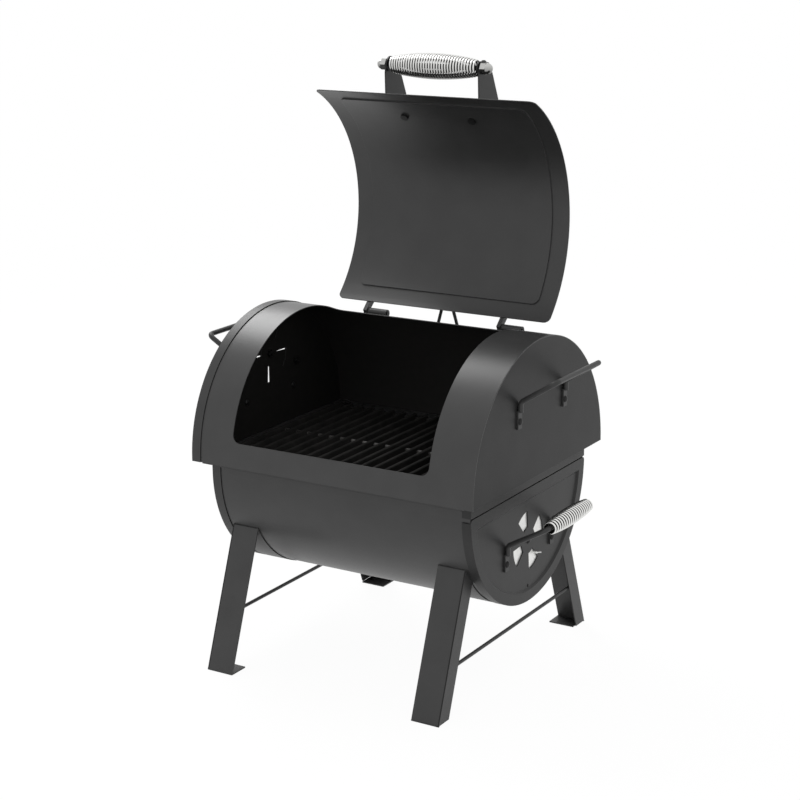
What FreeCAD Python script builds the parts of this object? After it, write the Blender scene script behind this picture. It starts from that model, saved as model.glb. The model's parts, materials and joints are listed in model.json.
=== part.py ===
import FreeCAD, Part
import math
import os

# Barrel grill and side fire box for an offset smoker, lid shown open.
# X runs along the barrel, Y from front (-) to back (+), Z up, origin on the ground
# under the middle. Angles round the barrel start at +Y and turn towards +Z.

doc = FreeCAD.newDocument("offset_smoker")
sheet = doc.addObject("Spreadsheet::Sheet", "Sizes")

SIZES = {
    # hood, the upper half of the barrel
    "hood_half": 245.0,
    "hood_radius": 205.0,
    "hood_wall": 1.5,
    "rim_drop": 2.5,
    "cap_flange": 15.7,
    "cap_wall": 1.2,
    "cap_gap": 0.1,
    "end_wall": 1.5,
    "opening_margin": 74.0,
    "opening_rear": 64.5,
    "opening_front": 169.9,
    "opening_corner": 13.0,
    # lid
    "lid_overlap": 21.0,
    "lid_gap": 0.6,
    "lid_wall": 1.4,
    "lid_rear": 59.6,
    "lid_front": 173.2,
    "lid_corner": 10.0,
    "lid_open": 107.0,
    "panel_inset": 29.0,
    "panel_step": 2.0,
    "panel_corner": 12.0,
    # lid hinges and stop
    "hinge_stand": 11.45,
    "hinge_angle": 56.08,
    "hinge_margin": 70.0,
    "hinge_shift": 6.2,
    "knuckle_radius": 6.5,
    "pin_radius": 2.5,
    "pin_gap": 0.08,
    "arm_width": 6.5,
    "base_width": 34.3,
    "knuckle_gap": 0.3,
    "strap_wall": 2.0,
    "strap_length": 24.0,
    "strap_reach": 20.0,
    "strap_width": 13.8,
    "arm_depth": 11.0,
    "stop_x": 0.0,
    "stop_half": 25.2,
    "stop_angle": 43.2,
    "stop_height": 88.0,
    "stop_wire": 2.6,
    "stop_bend": 5.0,
    # lid handle
    "bracket_half": 80.8,
    "bracket_wall": 2.0,
    "bracket_head": 12.5,
    "bracket_neck": 9.5,
    "bracket_back": 34.0,
    "bracket_spread": 51.0,
    "bracket_drop": 50.0,
    "bracket_pad": 34.0,
    "bracket_bolt": 153.8,
    "bracket_shift": -1.8,
    "grip_shift": 3.4,
    "bracket_head_wall": 3.4,
    "grip_stand": 51.8,
    "grip_angle": 169.5,
    "grip_gap": 2.9,
    "grip_end_radius": 12.2,
    "grip_mid_radius": 19.8,
    "rod_radius": 4.0,
    "washer_wall": 2.2,
    "washer_radius": 10.5,
    "acorn_hex": 9.5,
    "acorn_height": 8.8,
    "acorn_dome": 8.4,
    # bolts
    "bolt_radius": 3.0,
    "bolt_gap": 0.2,
    "nut_height": 5.0,
    "nut_radius": 5.8,
    "rivet_radius": 1.2,
    "side_bolt_y": 64.0,
    "side_bolt_rise": 56.0,
    # lower barrel
    "barrel_step": 25.8,
    "barrel_wall": 1.5,
    "barrel_axis": 301.7,
    "wall_rise": 21.8,
    "left_inset": 18.4,
    "right_inset": 16.5,
    "barrel_flange": 15.1,
    "rail_wall": 1.5,
    "rail_height": 12.0,
    "support_ledge": 8.0,
    "support_height": 14.0,
    "runner_height": 4.0,
    # drawer
    "drawer_drop": 1.7,
    "drawer_gap": 1.8,
    "drawer_recess": 3.0,
    "recess_inset": 14.7,
    "recess_drop": 17.3,
    "front_corner": 5.0,
    "pan_gap": 5.2,
    "pan_wall": 1.2,
    "pan_inset": 21.6,
    "pan_lip": 3.0,
    "lip_drop": 2.1,
    "back_drop": 6.0,
    "run_gap": 0.3,
    "rivet_inset": 6.0,
    # dampers
    "damper_inset": 78.3,
    "vent_rise": 122.0,
    "window_outer": 47.4,
    "window_inner": 21.0,
    "window_start": 3.8,
    "window_sweep": 37.6,
    "disc_radius": 54.0,
    "disc_wall": 1.2,
    "disc_window": 44.0,
    "stem_angle": -54.0,
    "stem_radius": 27.0,
    "stem_reach": 5.0,
    "finger_wall": 1.4,
    "finger_gap": 0.6,
    "finger_height": 5.0,
    "finger_turn": 39.0,
    "finger_length": 16.0,
    "vent_turn": -3.3,
    "vent_tab_angle": 292.0,
    "vent_tab_width": 9.0,
    "vent_tab_reach": 10.0,
    # grates
    "grate_rise": 6.5,
    "grate_gap": 14.2,
    "grate_height": 9.0,
    "grate_bar": 8.0,
    "grate_pitch": 21.25,
    "grate_first": 18.5,
    "grate_joint": 2.5,
    "grate_inset": 23.0,
    "rib_drop": 1.5,
    "charcoal_drop": 55.7,
    "charcoal_bar": 5.0,
    "charcoal_inset": 6.0,
    "charcoal_room": 28.0,
    "ledge_wall": 1.5,
    "ledge_width": 14.0,
    # bent-rod handles
    "handle_half": 72.0,
    "handle_rise": 35.5,
    "handle_reach": 56.0,
    "left_reach": 58.5,
    "drawer_reach": 63.0,
    "hood_tab_rise": 85.0,
    "drawer_tab_drop": 112.4,
    "tab_height": 27.0,
    "tab_bolt": 11.0,
    "tab_width": 11.0,
    "tab_wall": 3.2,
    "handle_neck": 13.0,
    "bend_radius": 9.0,
    "drawer_grip_gap": 6.5,
    "drawer_grip_radius": 13.5,
    "drawer_grip_end": 9.6,
    # legs
    "leg_inset": 38.0,
    "leg_width": 46.5,
    "leg_wall": 2.0,
    "leg_spread": 78.8,
    "leg_top_angle": 209.1,
    "leg_flange": 29.0,
    "foot_length": 34.5,
    "foot_relief": 3.6,
    "flange_lift": 1.2,
    "saddle_wall": 1.2,
    "brace_inset": 5.2,
    "brace_z": 74.0,
    "brace_radius": 2.8,
}

# sizes that follow from the ones above
FITS = {
    "barrel_radius": "hood_radius - barrel_step",
    "barrel_left": "left_inset - hood_half",
    "barrel_right": "hood_half - right_inset",
    "rim_height": "barrel_axis + wall_rise",
    "hood_axis": "rim_height + rim_drop",
    "opening_half": "hood_half - opening_margin",
    "lid_half": "opening_half + lid_overlap",
    "hinge_mid": "lid_half - hinge_margin",
    "grip_half": "bracket_half - grip_gap",
    "drawer_top": "barrel_axis - drawer_drop",
    "recess_radius": "barrel_radius - recess_inset",
    "recess_top": "drawer_top - recess_drop",
    "pan_radius": "barrel_radius - pan_gap",
    "pan_rear": "barrel_left + pan_inset",
    "damper_z": "barrel_axis - recess_radius + damper_inset",
    "vent_z": "hood_axis + vent_rise",
    "grate_top": "rim_height + grate_rise",
    "grate_half": "barrel_radius - grate_gap",
    "grate_end": "hood_half - grate_inset",
    "charcoal_top": "barrel_axis - charcoal_drop",
    "charcoal_length": "barrel_right - pan_rear - charcoal_room",
    "hood_tab_z": "hood_axis + hood_tab_rise",
    "drawer_tab_z": "barrel_axis - drawer_tab_drop",
    "drawer_grip_half": "handle_half - drawer_grip_gap",
    "leg_outer": "hood_half - leg_inset",
    "brace_x": "leg_outer - brace_inset",
}

for row, (alias, value) in enumerate(SIZES.items(), start=1):
    sheet.set("A%d" % row, alias)
    sheet.set("B%d" % row, "%g" % value)
    sheet.setAlias("B%d" % row, alias)
doc.recompute()


def val(name):
    """A size from the sheet, or one that follows from several."""
    if name not in FITS:
        return float(sheet.get(name))
    total = 0.0
    sign = 1
    for word in FITS[name].split():
        if word in "+-":
            sign = 1 if word == "+" else -1
        else:
            total += sign * val(word)
    return total


def formula_of(name):
    """The same size as an expression on the sheet's cells."""
    if name not in FITS:
        return "Sizes." + name
    words = [word if word in "+-" else formula_of(word) for word in FITS[name].split()]
    return "(" + " ".join(words) + ")"


V = FreeCAD.Vector
AXIS_X = V(1, 0, 0)
AXIS_Y = V(0, 1, 0)
AXIS_Z = V(0, 0, 1)
# turns a part drawn along Z to lie along X, with its angles measured from +Y to +Z
ALONG_X = FreeCAD.Rotation(V(1, 1, 1), 120)
UPRIGHT = FreeCAD.Rotation()

nodes = []


def bind(obj, **links):
    """Tie properties to cells; a name in a formula is read from the sheet."""
    for prop, formula in links.items():
        if isinstance(formula, (int, float)):
            setattr(obj, prop, formula)
            continue
        for name in sorted(list(SIZES) + list(FITS), key=len, reverse=True):
            formula = formula.replace("#" + name, formula_of(name))
        obj.setExpression(prop, formula)
    return obj


def cylinder(name, radius, length, x=0.0, y=0.0, z=0.0, start=0.0, sweep=360, turn=None):
    """A cylinder along X from x, or a wedge of it from angle start."""
    obj = doc.addObject("Part::Cylinder", name)
    bind(obj, Radius=radius, Height=length, Angle=sweep)
    turn = turn or FreeCAD.Rotation(AXIS_X, start).multiply(ALONG_X)
    obj.Placement = FreeCAD.Placement(V(x, y, z), turn)
    return obj


def box(name, x, y, z, size_x, size_y, size_z, turn=UPRIGHT):
    obj = doc.addObject("Part::Box", name)
    bind(obj, Length=size_x, Width=size_y, Height=size_z)
    obj.Placement = FreeCAD.Placement(V(x, y, z), turn)
    return obj


def cut(name, base, tool):
    obj = doc.addObject("Part::Cut", name)
    obj.Base = base
    obj.Tool = tool
    return obj


def fuse(name, *parts):
    obj = doc.addObject("Part::MultiFuse", name)
    obj.Shapes = list(parts)
    obj.Refine = True
    return obj


def common(name, *parts):
    obj = doc.addObject("Part::MultiCommon", name)
    obj.Shapes = list(parts)
    return obj


def shape(name, solid):
    obj = doc.addObject("Part::Feature", name)
    obj.Shape = solid
    return obj


def node(label, obj):
    """Name a finished sub-part; its label is its file name."""
    obj.Label = label
    nodes.append(obj)
    return obj


def ring_sector(name, radius, wall, length, x, axis, start, sweep, y=0.0):
    """A curved sheet: the outer wedge less a wedge of the inner radius."""
    outer = cylinder(name + "_outer", radius, length, x, y, axis, start, sweep)
    inner = cylinder(name + "_inner", "%s - %s" % (radius, wall), length, x, y, axis, start, sweep)
    return cut(name, outer, inner)


def polar(radius, angle, y=0.0, z=0.0):
    """Y and Z of a point at an angle round a centre."""
    turn = math.radians(angle)
    return y + radius * math.cos(turn), z + radius * math.sin(turn)


def rounded_window(name, half, rear, front, corner, axis, radius):
    """A tool that cuts a window with round corners out of a curved sheet."""
    slack = math.degrees(math.asin(corner / radius))
    reach = radius + 12
    sweep = front - rear
    wide = cylinder(name + "_wide", reach, 2 * half, -half, 0, axis, rear + slack, sweep - 2 * slack)
    inner = half - corner
    tall = cylinder(name + "_tall", reach, 2 * inner, -inner, 0, axis, rear, sweep)
    corners = []
    for x in (-inner, inner):
        for angle in (rear + slack, front - slack):
            turn = FreeCAD.Rotation(AXIS_X, angle - 90)
            corners.append(cylinder(name + "_corner", corner, reach, x, 0, axis, turn=turn))
    return fuse(name, wide, tall, *corners)


def rounded_path(points, radius):
    """A wire through the points with an arc of the radius at each turn."""
    edges = []
    last = points[0]
    for before, here, after in zip(points, points[1:], points[2:]):
        into = (here - before).normalize()
        out = (after - here).normalize()
        bend = into.getAngle(out)
        trim = radius * math.tan(bend / 2)
        start = here - into * trim
        end = here + out * trim
        middle = (out - into).normalize()
        centre = here + middle * (radius / math.cos(bend / 2))
        edges.append(Part.LineSegment(last, start).toShape())
        edges.append(Part.Arc(start, centre - middle * radius, end).toShape())
        last = end
    edges.append(Part.LineSegment(last, points[-1]).toShape())
    return Part.Wire(edges)


def bent_rod(name, points, radius, bend):
    """A round rod swept along straight runs joined by arcs."""
    path = shape(name + "_path", rounded_path(points, bend))
    start = doc.addObject("Part::Circle", name + "_section")
    bind(start, Radius=radius)
    turn = FreeCAD.Rotation(AXIS_Z, points[1] - points[0])
    start.Placement = FreeCAD.Placement(points[0], turn)
    rod = doc.addObject("Part::Sweep", name)
    rod.Sections = [start]
    rod.Spine = (path, ["Edge%d" % (i + 1) for i in range(len(path.Shape.Edges))])
    rod.Solid = True
    rod.Frenet = False
    return rod


def plate_x(name, outline, x, wall):
    """A flat sheet across X, cut to an outline of Y and Z points."""
    points = [V(x, y, z) for y, z in outline]
    face = shape(name + "_outline", Part.Face(Part.makePolygon(points + points[:1])))
    return extrude(name, face, AXIS_X, wall)


def extrude(name, face, direction, length):
    obj = doc.addObject("Part::Extrusion", name)
    obj.Base = face
    obj.DirMode = "Custom"
    obj.Dir = direction
    bind(obj, LengthFwd=length)
    obj.Solid = True
    return obj


def hexagon(name, radius, length, x, y, z):
    prism = doc.addObject("Part::Prism", name)
    prism.Polygon = 6
    bind(prism, Circumradius=radius, Height=length)
    prism.Placement = FreeCAD.Placement(V(x, y, z), ALONG_X)
    return prism


def bolt_x(name, x_head, y, z, length, side):
    """A bolt along X with a domed head; side is the way its head faces."""
    head = 3.2
    start = x_head if side < 0 else x_head - length
    shank = cylinder(name + "_shank", "#bolt_radius", length, start, y, z)
    dome = doc.addObject("Part::Ellipsoid", name + "_head")
    dome.Radius1 = head
    bind(dome, Radius2="#bolt_radius * 1.7", Radius3="#bolt_radius * 1.7")
    dome.Angle1 = 0
    dome.Angle2 = 90
    facing = FreeCAD.Rotation(AXIS_Z, V(side, 0, 0))
    dome.Placement = FreeCAD.Placement(V(x_head, y, z), facing)
    return fuse(name, shank, dome)


def nut_x(name, x, y, z):
    """A hexagon nut along X from x, with a bore that clears its bolt."""
    body = hexagon(name + "_body", "#nut_radius", "#nut_height", x, y, z)
    bore = cylinder(name + "_bore", "#bolt_radius + 0.02", "#nut_height", x, y, z)
    return cut(name, body, bore)


HALF = val("hood_half")
HOOD_AXIS = val("hood_axis")
BARREL_AXIS = val("barrel_axis")
RIM = val("rim_height")
DROP = HOOD_AXIS - RIM


def skirt(name, radius, wall, x, length, low, high, side):
    """The straight stretch of a half barrel below or above its axis."""
    y = val(radius) - val(wall) if side > 0 else -val(radius)
    return box(name, x, y, low, length, "#" + wall, high - low)


def hood_shell():
    wall = val("end_wall")
    length = "2 * #hood_half - #end_wall - #cap_gap"
    x = -HALF + wall + val("cap_gap")
    arc = ring_sector("hood_arc", "#hood_radius", "#hood_wall", length, x, HOOD_AXIS, 0, 180)
    front = skirt("hood_skirt_front", "hood_radius", "hood_wall", x, length, RIM, HOOD_AXIS, -1)
    back = skirt("hood_skirt_back", "hood_radius", "hood_wall", x, length, RIM, HOOD_AXIS, 1)
    sheet_metal = fuse("hood_sheet", arc, front, back)
    window = rounded_window("hood_window", val("opening_half"), val("opening_rear"),
                            val("opening_front"), val("opening_corner"), HOOD_AXIS,
                            val("hood_radius"))
    return cut("hood_shell_cut", sheet_metal, window)


def vent_windows(name, x, depth, y, z, start, sweep, outer="#window_outer", inner="#window_inner"):
    """Four kite-shaped windows round a pivot, as a cutting tool."""
    parts = []
    for quarter in range(4):
        wedge = cylinder(name + "_wedge", outer, depth, x, y, z, start + 90 * quarter, sweep)
        core = cylinder(name + "_core", inner, depth, x, y, z)
        parts.append(cut(name + "_part", wedge, core))
    return fuse(name, *parts)


def bolt_hole(name, x, depth, y, z):
    return cylinder(name, "#bolt_radius + #bolt_gap", depth, x, y, z)


TAB_BOLT_Z = val("hood_tab_z") + val("tab_bolt")
SIDE_BOLT_Y = val("side_bolt_y")
SIDE_BOLT_Z = HOOD_AXIS + val("side_bolt_rise")
RIVET_Z = BARREL_AXIS - val("recess_radius") + val("rivet_inset")
DEEP_FACE = val("barrel_right") - val("drawer_recess")
DEEP_BACK = DEEP_FACE - val("end_wall")


def hood_left_end():
    x = -HALF
    radius = "#hood_radius + #cap_wall + #cap_gap"
    disc = cylinder("left_end_disc", radius, "#end_wall", x, 0, HOOD_AXIS, 0, 180)
    rim = ring_sector("left_end_rim", radius, "#cap_wall", "#cap_flange", x, HOOD_AXIS, 0, 180)
    outer = val("hood_radius") + val("cap_wall") + val("cap_gap")
    low = box("left_end_low", x, -outer, RIM, "#end_wall", 2 * outer, DROP)
    lips = []
    for side in (-1, 1):
        y = outer - val("cap_wall") if side > 0 else -outer
        lips.append(box("left_end_lip", x, y, RIM, "#cap_flange", "#cap_wall", DROP))
    floor_y = val("hood_radius") - val("hood_wall") - 0.1
    inset = x + val("end_wall")
    reach = val("barrel_left") + 2.5 - inset
    shelf = box("left_end_shelf", inset, -floor_y, RIM, reach, 2 * floor_y, "#end_wall")
    cap = fuse("left_end_cap", disc, rim, low, shelf, *lips)
    tools = [vent_windows("left_end_windows", x - 1, 4, 0, val("vent_z"),
                          -val("window_sweep"), "#window_sweep")]
    tools.append(bolt_hole("left_end_pivot", x - 1, 4, 0, val("vent_z")))
    for side in (-1, 1):
        y = side * val("handle_half")
        tools.append(bolt_hole("left_end_hole", x - 1, 4, y, TAB_BOLT_Z))
        tools.append(bolt_hole("left_end_hole", x - 1, 4, side * SIDE_BOLT_Y, SIDE_BOLT_Z))
    return cut("left_end_cut", cap, fuse("left_end_tools", *tools))


def hood_right_end():
    wall = val("end_wall")
    x = HALF - wall
    radius = "#hood_radius - #hood_wall - #cap_gap"
    disc = cylinder("right_end_disc", radius, "#end_wall", x, 0, HOOD_AXIS, 0, 180)
    flange_x = HALF - val("cap_flange")
    rim = ring_sector("right_end_rim", radius, "#cap_wall", "#cap_flange", flange_x,
                      HOOD_AXIS, 0, 180)
    outer = val("hood_radius") - val("hood_wall") - val("cap_gap")
    low = box("right_end_low", x, -outer, RIM, "#end_wall", 2 * outer, DROP)
    shelf_x = val("barrel_right") - 2.5
    shelf = box("right_end_shelf", shelf_x, -outer, RIM, x - shelf_x, 2 * outer, "#end_wall")
    cap = fuse("right_end_cap", disc, rim, low, shelf)
    tools = []
    for side in (-1, 1):
        y = side * val("handle_half")
        tools.append(bolt_hole("right_end_hole", x - 1, 4, y, TAB_BOLT_Z))
    return cut("right_end_cut", cap, fuse("right_end_tools", *tools))


def rim_rail(side):
    """The angle that the hood's long edge sits on, along the top of the lower barrel."""
    name = "rim_rail_front" if side < 0 else "rim_rail_back"
    inner = val("barrel_radius") + val("cap_gap")
    outer = val("hood_radius")
    width = outer - inner + val("cap_wall")
    left = val("barrel_left")
    y = inner - val("cap_wall") if side > 0 else -outer
    top = box(name + "_top", left, y, RIM - val("rail_wall"), val("barrel_right") - left,
              width, "#rail_wall")
    inset = val("barrel_flange") + 0.3
    y = inner if side > 0 else -inner - val("rail_wall")
    long = val("barrel_right") - left - 2 * inset
    leg = box(name + "_leg", left + inset, y, RIM - val("rail_height"), long, "#rail_wall",
              "#rail_height")
    return fuse(name + "_angle", top, leg)


BARREL_TOP = RIM - val("rail_wall")


def lower_barrel():
    x = val("barrel_left") + val("end_wall") + val("cap_gap")
    length = val("barrel_right") - val("end_wall") - val("run_gap") - x
    arc = ring_sector("barrel_arc", "#barrel_radius", "#barrel_wall", length, x,
                      BARREL_AXIS, 180, 180)
    walls = []
    for side in (-1, 1):
        walls.append(skirt("barrel_wall", "barrel_radius", "barrel_wall", x, length,
                           BARREL_AXIS, BARREL_TOP, side))
    return fuse("barrel_sheet", arc, *walls)


def barrel_left_end():
    x = val("barrel_left")
    radius = "#barrel_radius + #cap_wall + #cap_gap"
    outer = val("barrel_radius") + val("cap_wall") + val("cap_gap")
    disc = cylinder("barrel_end_disc", radius, "#end_wall", x, 0, BARREL_AXIS, 180, 180)
    rim = ring_sector("barrel_end_rim", radius, "#cap_wall", "#barrel_flange", x,
                      BARREL_AXIS, 180, 180)
    inner = val("barrel_radius") - val("barrel_wall")
    high = box("barrel_end_high", x, -inner, BARREL_AXIS, "#end_wall", 2 * inner,
               RIM - BARREL_AXIS)
    lips = []
    for side in (-1, 1):
        y = outer - val("cap_wall") if side > 0 else -outer
        lips.append(box("barrel_end_lip", x, y, BARREL_AXIS, "#barrel_flange", "#cap_wall",
                        BARREL_TOP - BARREL_AXIS))
        y = inner if side > 0 else -outer
        lips.append(box("barrel_end_web", x, y, BARREL_AXIS, "#end_wall", outer - inner,
                        BARREL_TOP - BARREL_AXIS))
    return fuse("barrel_end_cap", disc, rim, high, *lips)


STRIP_LOW = val("drawer_top") + val("drawer_gap")


def cross_strip():
    """The fixed strip above the drawer, folded back over the barrel at both ends."""
    x = val("barrel_right") - val("end_wall")
    outer = val("barrel_radius") + val("cap_wall") + val("cap_gap")
    inner = val("barrel_radius") - val("barrel_wall")
    face = box("strip_face", x, -outer, STRIP_LOW, "#end_wall", 2 * outer, BARREL_TOP - STRIP_LOW)
    high = box("strip_high", x, -inner, STRIP_LOW, "#end_wall", 2 * inner, RIM - STRIP_LOW)
    wraps = []
    for side in (-1, 1):
        y = outer - val("cap_wall") if side > 0 else -outer
        wrap_x = val("barrel_right") - val("barrel_flange")
        wraps.append(box("strip_wrap", wrap_x, y, STRIP_LOW, "#barrel_flange", "#cap_wall",
                         BARREL_TOP - STRIP_LOW))
    return fuse("strip", face, high, *wraps)


GRATE_LOW = val("grate_top") - val("grate_height")


def grate_support(side):
    """The angle inside the barrel wall that carries the cooking grates."""
    name = "grate_support_front" if side < 0 else "grate_support_back"
    wall = val("rail_wall")
    inner = val("barrel_radius") - val("barrel_wall") - val("cap_gap")
    ledge = val("grate_half") - val("support_ledge")
    start = val("barrel_left") + val("pan_lip") + val("end_wall")
    length = val("barrel_right") - val("pan_lip") - val("end_wall") - start
    y = ledge if side > 0 else -inner
    shelf = box(name + "_shelf", start, y, GRATE_LOW - wall, length, inner - ledge, "#rail_wall")
    y = inner - wall if side > 0 else -inner
    leg = box(name + "_leg", start, y, GRATE_LOW - val("support_height"), length, "#rail_wall",
              "#support_height")
    return fuse(name + "_angle", shelf, leg)


LIP_TOP = val("drawer_top") - val("lip_drop")
LIP_LOW = LIP_TOP - val("pan_wall")


def drawer_rails():
    """Two runners on the barrel wall under the ash pan's lips."""
    parts = []
    tall = val("runner_height")
    high = LIP_LOW - val("run_gap")
    bore = val("barrel_radius") - val("barrel_wall")
    inner = math.sqrt(bore ** 2 - (BARREL_AXIS - high + tall) ** 2)
    start = val("pan_radius") + 2 * val("run_gap")
    width = inner - start
    begin = val("barrel_left") + 2 * val("end_wall")
    length = val("barrel_right") - val("barrel_flange") - begin
    for side in (-1, 1):
        y = start if side > 0 else -inner
        parts.append(box("drawer_runner", begin, y, high - tall, length, width, "#runner_height"))
    return fuse("drawer_runners", *parts)


def cooking_grate(side):
    """Cast bars from front to back, a frame round them and two ribs across."""
    name = "grate_left" if side < 0 else "grate_right"
    depth = 2 * val("grate_half")
    bar = val("grate_bar")
    low = val("grate_joint")
    high = val("grate_end")
    rungs = int((high - bar - val("grate_first")) / val("grate_pitch")) + 1
    middles = [val("grate_first") + index * val("grate_pitch") for index in range(rungs)]
    middles = [low + bar / 2] + middles + [high - bar / 2]
    bars = []
    for middle in middles:
        bars.append(box(name + "_bar", side * middle - bar / 2, -depth / 2, GRATE_LOW,
                        "#grate_bar", "2 * #grate_half", "#grate_height"))
    x = low if side > 0 else -high
    for y in (-depth / 2, depth / 2 - bar):
        bars.append(box(name + "_end", x, y, GRATE_LOW, high - low, "#grate_bar", "#grate_height"))
    for y in (-depth / 6, depth / 6):
        bars.append(box(name + "_rib", x, y - bar / 2, GRATE_LOW, high - low, "#grate_bar",
                        "#grate_height - #rib_drop"))
    return fuse(name + "_casting", *bars)


def leg_corner():
    """The radius the leg is cut to, its outer top corner and how far out its foot is."""
    clear = val("barrel_radius") + val("saddle_wall") + val("cap_gap")
    top_y, top_z = polar(clear, val("leg_top_angle"), 0, BARREL_AXIS)
    return clear, -top_y, top_z, val("leg_spread") - top_y


def leg(side_x, side_y):
    """A sheet angle: broad face across Y, flange on the outside, foot turned inwards."""
    name = "leg_%s_%s" % ("front" if side_y < 0 else "back", "left" if side_x < 0 else "right")
    clear, top_y, top_z, foot_y = leg_corner()
    wall = val("leg_wall")
    lean = math.atan2(foot_y - top_y, top_z)
    across = wall / math.cos(lean)
    flange = val("leg_flange")
    width = val("leg_width")
    x_in = val("leg_outer") - width
    high = top_z + val("leg_flange")
    run = math.tan(lean) * high

    def slab(tag, y0, y1, x0, size_x, low=0.0):
        tip = run * low / high
        outline = [(y0 - tip, low), (y1 - tip, low), (y1 - run, high), (y0 - run, high)]
        if side_y < 0:
            outline = [(-y, z) for y, z in outline]
        start = x0 if side_x > 0 else -x0 - size_x
        return plate_x(name + tag, outline, start, size_x)

    face = slab("_face", foot_y - across, foot_y, x_in, width)
    flange_part = slab("_flange", foot_y - flange, foot_y, val("leg_outer") - wall, wall,
                       val("flange_lift"))
    start_y = foot_y - val("foot_length") if side_y > 0 else -foot_y
    tread = width - val("foot_relief")
    start_x = x_in if side_x > 0 else -x_in - tread
    foot = box(name + "_foot", start_x, start_y, 0, tread, "#foot_length", "#leg_wall")
    angle = fuse(name + "_angle", face, flange_part, foot)
    start_x = x_in - 1 if side_x > 0 else -x_in - width - 1
    drum = cylinder(name + "_drum", clear, width + 2, start_x, 0, BARREL_AXIS)
    lid_y = -foot_y if side_y < 0 else 0
    above = box(name + "_above", start_x, lid_y, top_z, width + 2, foot_y,
                "2 * #leg_flange")
    return cut(name + "_cut", angle, fuse(name + "_trim", drum, above))


def leg_saddle(side):
    """The band round the barrel's underside that joins a front leg to a back leg."""
    name = "leg_saddle_left" if side < 0 else "leg_saddle_right"
    x = val("leg_outer") - val("leg_width")
    if side < 0:
        x = -val("leg_outer")
    start = val("leg_top_angle")
    radius = "#barrel_radius + #saddle_wall + 0.05"
    return ring_sector(name + "_band", radius, "#saddle_wall", "#leg_width", x, BARREL_AXIS,
                       start, 540 - 2 * start)


def leg_brace(side):
    """A straight rod between a front leg and a back leg, trimmed to their inner faces."""
    name = "leg_brace_left" if side < 0 else "leg_brace_right"
    clear, top_y, top_z, foot_y = leg_corner()
    lean = math.atan2(foot_y - top_y, top_z)
    across = val("leg_wall") / math.cos(lean)
    turn = FreeCAD.Rotation(AXIS_Z, AXIS_Y)
    rod = cylinder(name + "_rod", "#brace_radius", 2 * foot_y, side * val("brace_x"), -foot_y,
                   val("brace_z"), turn=turn)
    y = foot_y - across
    run = math.tan(lean) * top_z
    outline = [(-y, 0), (y, 0), (y - run, top_z), (run - y, top_z)]
    reach = 2 * val("brace_radius")
    between = plate_x(name + "_between", outline, side * val("brace_x") - reach, 2 * reach)
    return common(name + "_trimmed", rod, between)


def bent_handle(name, x, side, tab_low, reach):
    """A round rod bent to a U, with both ends flattened to bolted tabs."""
    half = val("handle_half")
    wall = val("tab_wall")
    rod = val("rod_radius")
    tab_top = tab_low + val("tab_height")
    start_x = x + side * rod
    neck = tab_top + val("handle_neck")
    out_x = x + side * (rod + reach)
    out_z = neck + val("handle_rise")
    points = [V(start_x, -half, tab_top - 2), V(start_x, -half, neck), V(out_x, -half, out_z),
              V(out_x, half, out_z), V(start_x, half, neck), V(start_x, half, tab_top - 2)]
    parts = [bent_rod(name + "_rod", points, "#rod_radius", val("bend_radius"))]
    holes = []
    for y in (-half, half):
        start = x if side > 0 else x - wall
        parts.append(box(name + "_tab", start, y - val("tab_width") / 2, tab_low, "#tab_wall",
                         "#tab_width", "#tab_height"))
        holes.append(bolt_hole(name + "_hole", start - 1, wall + 2, y,
                               tab_low + val("tab_bolt")))
    return cut(name + "_bent", fuse(name + "_whole", *parts), fuse(name + "_holes", *holes))


def handle_bolts(name, face, inside, side, tab_low):
    """Two bolts through a handle's tabs, each with a nut behind the sheet."""
    bolts = []
    for y in (-val("handle_half"), val("handle_half")):
        head = face + side * val("tab_wall")
        z = tab_low + val("tab_bolt")
        length = abs(head - inside) + val("nut_height") + 2
        bolts.append(bolt_x(name + "_bolt", head, y, z, length, side))
        nut = inside - val("nut_height") if side > 0 else inside
        bolts.append(nut_x(name + "_nut", nut, y, z))
    return bolts


def group(name, parts):
    """Separate solids kept in one sub-part."""
    obj = doc.addObject("Part::Compound", name)
    obj.Links = parts
    return obj


HINGE_Y, HINGE_Z = polar(val("hood_radius") + val("hinge_stand"), val("hinge_angle"), 0, HOOD_AXIS)


def opened(obj):
    """Swing a part that is drawn on the closed lid to the open pose."""
    turn = FreeCAD.Placement(V(0, 0, 0), FreeCAD.Rotation(AXIS_X, -val("lid_open")),
                             V(0, HINGE_Y, HINGE_Z))
    obj.Placement = turn.multiply(obj.Placement)
    return obj


def opened_point(y, z):
    """Where a point of the closed lid lies when the lid is open."""
    turn = math.radians(-val("lid_open"))
    dy = y - HINGE_Y
    dz = z - HINGE_Z
    return (HINGE_Y + dy * math.cos(turn) - dz * math.sin(turn),
            HINGE_Z + dy * math.sin(turn) + dz * math.cos(turn))


LID_OUT = val("hood_radius") + val("lid_gap") + val("lid_wall")
LID_Y, LID_Z = opened_point(0, HOOD_AXIS)
GRIP_Y, GRIP_Z = opened_point(*polar(LID_OUT + val("grip_stand"), val("grip_angle"), 0, HOOD_AXIS))
BRACKET_BOLT = val("bracket_bolt")
PANEL_OUT = LID_OUT - val("panel_step")


def bracket_bolt_x(side):
    """Where the bolt of one handle bracket stands along the lid."""
    return val("bracket_shift") + side * (val("bracket_half") - val("bracket_pad") / 2 - 4)


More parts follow.
